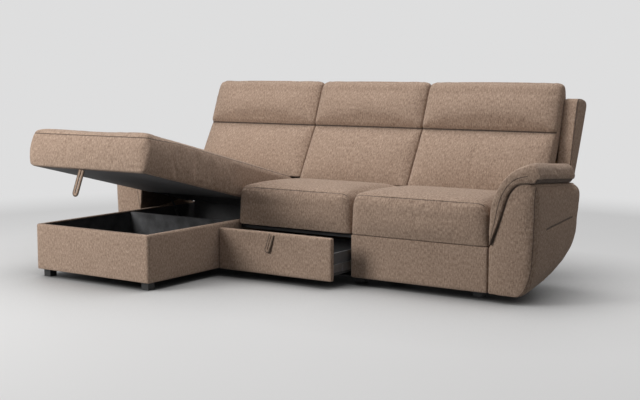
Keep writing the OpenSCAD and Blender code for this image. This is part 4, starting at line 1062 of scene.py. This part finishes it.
def wing(name, node, x0, x1, r=12):
    low_end = ((wing_corners[1][0][0] + wing_corners[2][0][0]) / 2, wing_low)
    rings = cushion_rings(x0 + 1, x1 - 2, r, wing_section, low_end, 2.0, 10)
    seam = x1 - r * 0.7 - np.concatenate(rings)[:, 0]
    soft_piece(name, rings, seam, None, 0, 0, "base", node)


wing("right_wing_cover", "wing_right", 2270, 2355)
wing("left_wing_cover", "wing_left", -29, 11)


def leaning(points):
    """The frame's own space, Z along the lean, to sofa places."""
    p = np.array(points, float)
    y, z = p[:, 1].copy(), p[:, 2].copy()
    p[:, 1] = back_y0 + y * math.cos(lean) + z * math.sin(lean)
    p[:, 2] = -y * math.sin(lean) + z * math.cos(lean)
    return p


back_x0, back_x1, panel_z0 = 11.3, 2270.7, 172
post_top = back_z / math.cos(lean)
points, faces = pad_grid((back_x0, back_t, panel_z0), (back_x1, back_t + 4, post_top + 4), 1.9, (0, 0, 0), 14)
across = points[:, 0]
widths = np.minimum(np.abs(across - middle_x), np.abs(across - right_x))
rise = (points[:, 2] - panel_z0) / (post_top + 4 - panel_z0)
swell = 5.0 * (1 - np.exp(-(widths / 9.0) ** 2)) * np.clip(4 * rise * (1 - rise), 0, 1) ** 0.5
swell *= np.clip(np.minimum(across - 11, 2271 - across) / 60, 0, 1) ** 0.5
points[:, 1] += np.where(points[:, 1] > back_t + 2, swell, 0)
widths = np.where((across > middle_x) & (across < right_x), widths, -widths)
cover(upholstered("back_rear_cloth", leaning(points), faces, seam=widths), "base", "back_rear_panel")


# ---- Back cushions ----
# Three one-piece cushions: a lumbar part and a headrest part in one cover, with a
# deep sewn channel between them. Their covers are pulled down over the frame.

top_z, seat_crease, head_z = 1012, 1252, 754
lumbar_z, lumbar_slope = seam_z - 14, 0.562
head_y = seat_crease + lumbar_slope * (head_z - lumbar_z)


def back_rear(z):
    return back_y0 - 2.3 / math.cos(lean) + lean_share * z


def back_front(z):
    return seat_crease + (z - lumbar_z) * lumbar_slope


def back_corners(e, full, z0, channel):
    edge_z = back_z - 5
    return [
        ((back_front(z0) + e / 2 + 3, z0), 13, 0),
        ((back_rear(z0), z0 + e / 4), 20, 0),
        ((back_rear(edge_z), edge_z), 10, 0),
        ((back_rear(edge_z) - 4 - e / 6, top_z - e * 2 / 3), 50, 10 * full),
        ((head_y + 76 + e / 2, top_z - 8 - e * 2 / 3), 60, 16 * full),
        ((head_y - 8 + e / 2, head_z + 18), 18, 0),
        ((head_y + channel + e / 2, head_z), 3, 0),
        ((head_y - 10 + e / 2, head_z - 16), 16, 26 * full)]


def back_cushion(name, node, x0, x1, z0):
    steps = side_counts(back_corners(0, 1, z0, 13), 11)
    steps[5] = steps[6] = 4

    def section(e, share):
        full = fullness_at(share)
        return outline(back_corners(e, full, z0, 25 * full ** 0.5), 5, steps)

    low_end = ((back_front(z0) + back_rear(z0)) / 2, z0)
    rings = cushion_rings(x0 + 2, x1 - 2, 40, section, low_end, 2.5, 11)
    seam = along(rings, corner_index(steps, 5, 6)) * 0.6

    def held(at):
        channel = near_row(at, [(head_y + 12, head_z), (head_y + 40, head_z)], 9)
        return np.maximum.reduce([near(back_rear(at[:, 2]) - at[:, 1], 16) * (at[:, 2] < back_z),
                                  near(at[:, 2] - z0, 14), np.clip(channel * 1.6, 0, 1),
                                  near(np.minimum(at[:, 0] - x0, x1 - at[:, 0]), 22) * 0.9])

    soft_piece(name, rings, seam, held, 3.2, 0.010, "base", node)


half_gap = 0.3                                   # half the room between two back cushions
back_cushion("back_cushion_left_cover", "back_cushion_left", 14, middle_x - half_gap, 463)
back_cushion("back_cushion_middle_cover", "back_cushion_middle", middle_x + half_gap, right_x - half_gap, 450)
back_cushion("back_cushion_right_cover", "back_cushion_right", right_x + half_gap, 2271.5, 450)


# ---- Lid ----
# The chaise seat is a lid: a timber frame and slats under thick foam, in one sewn
# cover whose top panel meets the sides in a seam. It turns on two hinges at its rear.

lid_angle, hinge = math.radians(13.8), Vector(sofa((sofa_middle[0], 1222, 345)))
lid_x0, lid_x1, lid_front, lid_rear, lid_z0, lid_z1 = 5, 780, -40, 1209, 279, 474
lid_pose = Matrix.Translation(hinge) @ Matrix.Rotation(-lid_angle, 4, "X") @ Matrix.Translation(-hinge)
lid_seam_z, lid_crown = lid_z1 - 24, 16
lid_spread = 46                                  # how far the left side bulges out at the front
lid_beside_y = 640                               # behind it the lid lies beside the seat and the arm


def lid_corners(e, full):
    return [
        ((lid_front + e / 2, lid_z0 + e / 3), 17, 0),
        ((lid_rear - e / 3, lid_z0 + e / 3), 8.5, 0),
        ((lid_rear - e / 3, lid_z1 - 8 - e), 34, lid_crown * full),
        ((lid_front + e / 2 + 4, lid_z1 - e), 51, 0),
        ((lid_front + e / 2 + 3, lid_seam_z - e / 2), 3, lid_crown * full / 3)]


lid_steps = side_counts(lid_corners(0, 1), 12)
lid_steps[3] = 2


def lid_section(e, share):
    return outline(lid_corners(e, fullness_at(share)), 6, lid_steps)


lid_rings = cushion_rings(lid_x0, lid_x1, 34, lid_section, (lid_front, 372), 4.0, 12)
spread_end = body_y - 16
for ring in lid_rings:
    share = np.clip((ring[:, 0] - lid_x0) / (lid_x1 - lid_x0), 0, 1)
    belly = 0.5 + 0.5 * np.clip(1 - ((ring[:, 2] - 385) / 105) ** 2, 0, 1)
    forward = np.clip((spread_end - ring[:, 1]) / (spread_end - lid_front), 0, None)
    ring[:, 0] -= lid_spread * belly * (1 - share) ** 4 * forward


def lid_sewn_z(y):
    """The seam of the top panel: lower across the front, and up at the edge along the sides."""
    run = np.clip((y - lid_front) / 260, 0, 1)
    return lid_seam_z + 14 * run * run * (3 - 2 * run)


def lid_held(at):
    sewn = near(np.abs(at[:, 2] - lid_sewn_z(at[:, 1])), 9)
    side = (at[:, 0] < lid_x0 + 25) | (at[:, 0] > lid_x1 - 25) | (at[:, 1] < lid_front + 20)
    in_gap = np.minimum(at[:, 0] - (lid_x0 - 4), lid_x1 + 4 - at[:, 0])
    beside = (at[:, 1] > lid_beside_y) * near(in_gap, 14)
    return np.maximum.reduce([near(at[:, 2] - lid_z0, 16), near(lid_rear - at[:, 1], 20),
                              sewn * side * 0.8, beside])


points = np.concatenate(lid_rings)
lid_seam = (points[:, 2] - lid_sewn_z(points[:, 1])) * 1.5
frame_room = (22.7, -12.3, 270), (762.3, 1230, 345.3)
hinge_room = (22.7, 1204.7, 270), (762.3, 1230, 353.3)
lid_cover = soft_piece("lid_cushion_cover", lid_rings, lid_seam, lid_held, 3.0, 0.010, "lid",
                       "lid_cushion")
hollowed(lid_cover, frame_room, hinge_room, inner=dust_cloth)
lid_cover.data.transform(lid_pose)


# ---- Pulls ----
# A loop of the same cloth, sewn double, hangs from the lid's underside and from the
# drawer front's top edge. Its edges are stitched.

def strap_loop(name, node, body, top, length, tilt, leg, slot, lean_out=0, pose=Matrix()):
    """A flat strap turned back on itself, with a slot between its legs; top is where it
    is sewn on. Gives back the lines of its stitches."""
    thick, n, turn = 7.0, 14, 16
    half = (leg + slot) / 2
    path = [(-half, -z) for z in np.linspace(0, length, n)]
    path += [(-half * math.cos(a), -length - half * math.sin(a)) for a in np.linspace(0, math.pi, 13)[1:-1]]
    path += [(half, -z) for z in np.linspace(length, 0, n)]
    path = np.array(path)
    run = np.gradient(path, axis=0)
    run /= np.linalg.norm(run, axis=1)[:, None]
    side = np.column_stack([run[:, 1], -run[:, 0]])
    off = -lean_out * np.abs(path[:, 1]) / length

    def hung(across, deep):
        c, s = math.cos(math.radians(tilt)), math.sin(math.radians(tilt))
        x, z = path[:, 0] + side[:, 0] * across, path[:, 1] + side[:, 1] * across
        return np.column_stack([x * c + z * s, deep + off, -x * s + z * c]) + top

    rows, edge = [], []
    for k in range(turn):
        a = 2 * math.pi * k / turn
        wide = math.copysign(abs(math.cos(a)) ** 0.55, math.cos(a)) * leg / 2
        rows.append(hung(wide, math.copysign(abs(math.sin(a)) ** 0.8, math.sin(a)) * thick / 2 - thick / 2))
        # The strap's rim gets a dark line through its seam attribute: painted shade round its edges.
        edge.append((leg / 2 - wide) * 0.5 - 0.6)
    points, count = np.array(rows).transpose(1, 0, 2).reshape(-1, 3), len(path)
    faces = ring_faces(count, turn)
    faces += [list(range(turn))[::-1], [(count - 1) * turn + k for k in range(turn)]]
    made = upholstered(name, points, faces, seam=np.tile(edge, count))
    merged(made, 0.0001)
    lay_cloth(made.data)
    made.data.transform(pose)
    cover(made, body, node)
    return [sofa(hung(across, -thick + 0.1)) for across in (-leg / 2 + 2.4, leg / 2 - 2.4)]


lid_pull_lines = strap_loop("lid_pull_loop", "lid_pull", "lid", top=(346, -14, 276.3), length=118, tilt=9,
                            leg=19.0, slot=4.0, pose=lid_pose)
drawer_pull_lines = strap_loop("drawer_pull_loop", "drawer_pull", "drawer", top=(1137, drawer_y - 0.3, 246.0),
                               length=82, tilt=17, leg=16.0, slot=2.0, lean_out=6)


# ---- Stitches, staples and screws ----
# Geometry nodes lay stitches along the pulls' edges and staples along the hems, and
# set a cross-head screw at each hole of the fittings.

def grower(name, kinds):
    """A geometry tree, and its named inputs as they are inside it."""
    tree = bpy.data.node_groups.new(name, "GeometryNodeTree")
    add_sockets(tree, "INPUT", {"Geometry": "Geometry", **kinds})
    add_sockets(tree, "OUTPUT", {"Geometry": "Geometry"})
    return tree, wired(tree, "NodeGroupInput").outputs


tree, given = grower("laid_along_a_line", {"Pitch": "Float", "Length": "Float", "Width": "Float",
                                           "Height": "Float", "Material": "Material"})
row_tree = tree
line = wired(tree, "GeometryNodeMeshToCurve", {"Mesh": given["Geometry"]})
spaced = wired(tree, "GeometryNodeResampleCurve", {"Curve": line, "Length": given["Pitch"]}, mode="LENGTH")
bead = wired(tree, "GeometryNodeMeshUVSphere", {"Segments": 8, "Rings": 6, "Radius": 0.5})
heading = wired(tree, "GeometryNodeInputTangent")
turned = wired(tree, "FunctionNodeAlignRotationToVector", {"Vector": heading}, axis="X")
measure = wired(tree, "ShaderNodeCombineXYZ", {"X": given["Length"], "Y": given["Width"],
                "Z": given["Height"]})
laid = wired(tree, "GeometryNodeInstanceOnPoints", {"Points": spaced, "Instance": bead, "Rotation": turned,
             "Scale": measure})
real = wired(tree, "GeometryNodeRealizeInstances", {"Geometry": laid})
dressed = wired(tree, "GeometryNodeSetMaterial", {"Geometry": real, "Material": given["Material"]})
wired(tree, "NodeGroupOutput", {"Geometry": dressed})

tree, given = grower("screw_heads", {"Radius": "Float", "Depth": "Float", "Steel": "Material",
                                     "Recess": "Material"})
head_tree = tree
dome = wired(tree, "GeometryNodeMeshUVSphere", {"Segments": 20, "Rings": 10, "Radius": given["Radius"]})
flat = calc(tree, "DIVIDE", given["Depth"], given["Radius"])
squat = wired(tree, "ShaderNodeCombineXYZ", {"X": 1.0, "Y": 1.0, "Z": flat})
dome = wired(tree, "GeometryNodeTransform", {"Geometry": dome, "Scale": squat})
dome = wired(tree, "GeometryNodeSetMaterial", {"Geometry": dome, "Material": given["Steel"]})
cross, head = wired(tree, "GeometryNodeJoinGeometry"), wired(tree, "GeometryNodeJoinGeometry")
for x, y in ((1.1, 0.24), (0.24, 1.1)):
    extent = wired(tree, "ShaderNodeCombineXYZ", {
        "X": calc(tree, "MULTIPLY", given["Radius"], x), "Y": calc(tree, "MULTIPLY", given["Radius"], y),
        "Z": calc(tree, "MULTIPLY", given["Depth"], 1.94)})
    tree.links.new(wired(tree, "GeometryNodeMeshCube", {"Size": extent}).outputs["Mesh"], cross.inputs[0])
cross = wired(tree, "GeometryNodeSetMaterial", {"Geometry": cross, "Material": given["Recess"]})
for part in (dome, cross):
    tree.links.new(part.outputs[0], head.inputs[0])
aim = wired(tree, "GeometryNodeInputNamedAttribute", {"Name": "aim"}, data_type="FLOAT_VECTOR")
turned = wired(tree, "FunctionNodeAlignRotationToVector", {"Vector": aim}, axis="Z")
holes = wired(tree, "GeometryNodeMeshToPoints", {"Mesh": given["Geometry"]})
laid = wired(tree, "GeometryNodeInstanceOnPoints", {"Points": holes, "Instance": head, "Rotation": turned})
real = wired(tree, "GeometryNodeRealizeInstances", {"Geometry": laid})
wired(tree, "NodeGroupOutput", {"Geometry": real})


def grown(name, tree, settings, points, edges, body, aim=None, pose=Matrix()):
    """Runs a geometry tree on points and lines, and keeps what it makes as one piece."""
    mesh = bpy.data.meshes.new(name)
    mesh.from_pydata(np.asarray(points, float).tolist(), edges, [])
    if aim:
        mesh.attributes.new("aim", "FLOAT_VECTOR", "POINT").data.foreach_set(
            "vector", np.asarray(aim, np.float32).ravel())
    made = stood(name, mesh)
    grow = made.modifiers.new("grow", "NODES")
    grow.node_group = tree
    sockets = {item.name: item.identifier for item in tree.interface.items_tree if item.in_out == "INPUT"}
    for key, value in settings.items():
        grow[sockets[key]] = value
    applied(made, grow)
    made.data.transform(pose)
    shade_smooth(made.data)
    sharp_cut(made)
    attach(made, body)


thread, tree = blank_material("taupe_thread")
twist = noise(tree, own_place(tree), 900.0, 2.0)
surfaced(tree, two_tone(tree, twist, (0.20, 0.14, 0.10), (0.36, 0.27, 0.20)),
         ranged(tree, twist, 0, 1, 0.6, 0.85))

stitch = {"Pitch": 0.0052, "Length": 0.0036, "Width": 0.0009, "Height": 0.0009, "Material": thread}
staple = {"Pitch": 0.055, "Length": 0.011, "Width": 0.0014, "Height": 0.0014, "Material": zinc_steel}
rim_in, rim_rear, staple_z = 27.3, 1235, 262      # along the inner face of the folded hem
rim = [sofa([(x, y, staple_z) for x, y in ((rim_in, rim_rear), (rim_in, rim_in), (chaise_w - rim_in, rim_in),
                                           (chaise_w - rim_in, rim_rear))])]
for name, lines, kind, body, slot, pose in (
        ("lid_pull_stitches", lid_pull_lines, stitch, "lid", "cover_cloth", lid_pose),
        ("drawer_pull_stitches", drawer_pull_lines, stitch, "drawer", "cover_cloth", Matrix()),
        ("rim_staples", rim, staple, "base", "zinc_steel", Matrix())):
    edges, start = [], 0
    for line in lines:
        edges += [(start + i, start + i + 1) for i in range(len(line) - 1)]
        start += len(line)
    grown(name, row_tree, kind, np.concatenate(lines), edges, body, pose=pose)

# Each row: node, body, a place before the plate, and the way to it. A ray finds the plate.
screw_rows = [("deck_brackets", "base", (x + (36 if way < 0 else 4), y, 204), (way, 0, 0))
              for x, way in ((1446, 1), (1504, -1), (2197.7, 1)) for y in (783, 803, 1130, 1150)]
screw_rows += [("strut_base_brackets", "base", (x, y, z), (way, 0, 0))
               for x, way in ((61, -1), (724, 1)) for z in (77, 114) for y in (1131, 1168)]
screw_rows += [("strut_lid_brackets", "lid", (x, y, z), (way, 0, 0))
               for x, way in ((44, 1), (741, -1)) for z in (350, 386) for y in (944, 982)]
for x in (162, 198, 587, 623):
    screw_rows += [("hinge_plates", "base", (x, 1216, 292), (0, 1, 0)),
                   ("hinge_leaves", "lid", (x, 1229, 313), (0, -1, 0))]
screw = {"Radius": 0.0036, "Depth": 0.0018, "Steel": zinc_steel, "Recess": black_paint}
found = {"base": [], "lid": []}
for node, body, place, way in screw_rows:
    pose = lid_pose if body == "lid" else Matrix()
    start, heading = pose @ Vector(sofa(place)), pose.to_3x3() @ Vector(way)
    hit, at, normal, _ = nodes[node].ray_cast(start, heading, distance=0.08)
    if hit:
        found[body].append((at, normal))
for body, rows in found.items():
    grown(f"{body}_screw_heads", head_tree, screw, [at for at, _ in rows], [], body,
          aim=[way for _, way in rows])
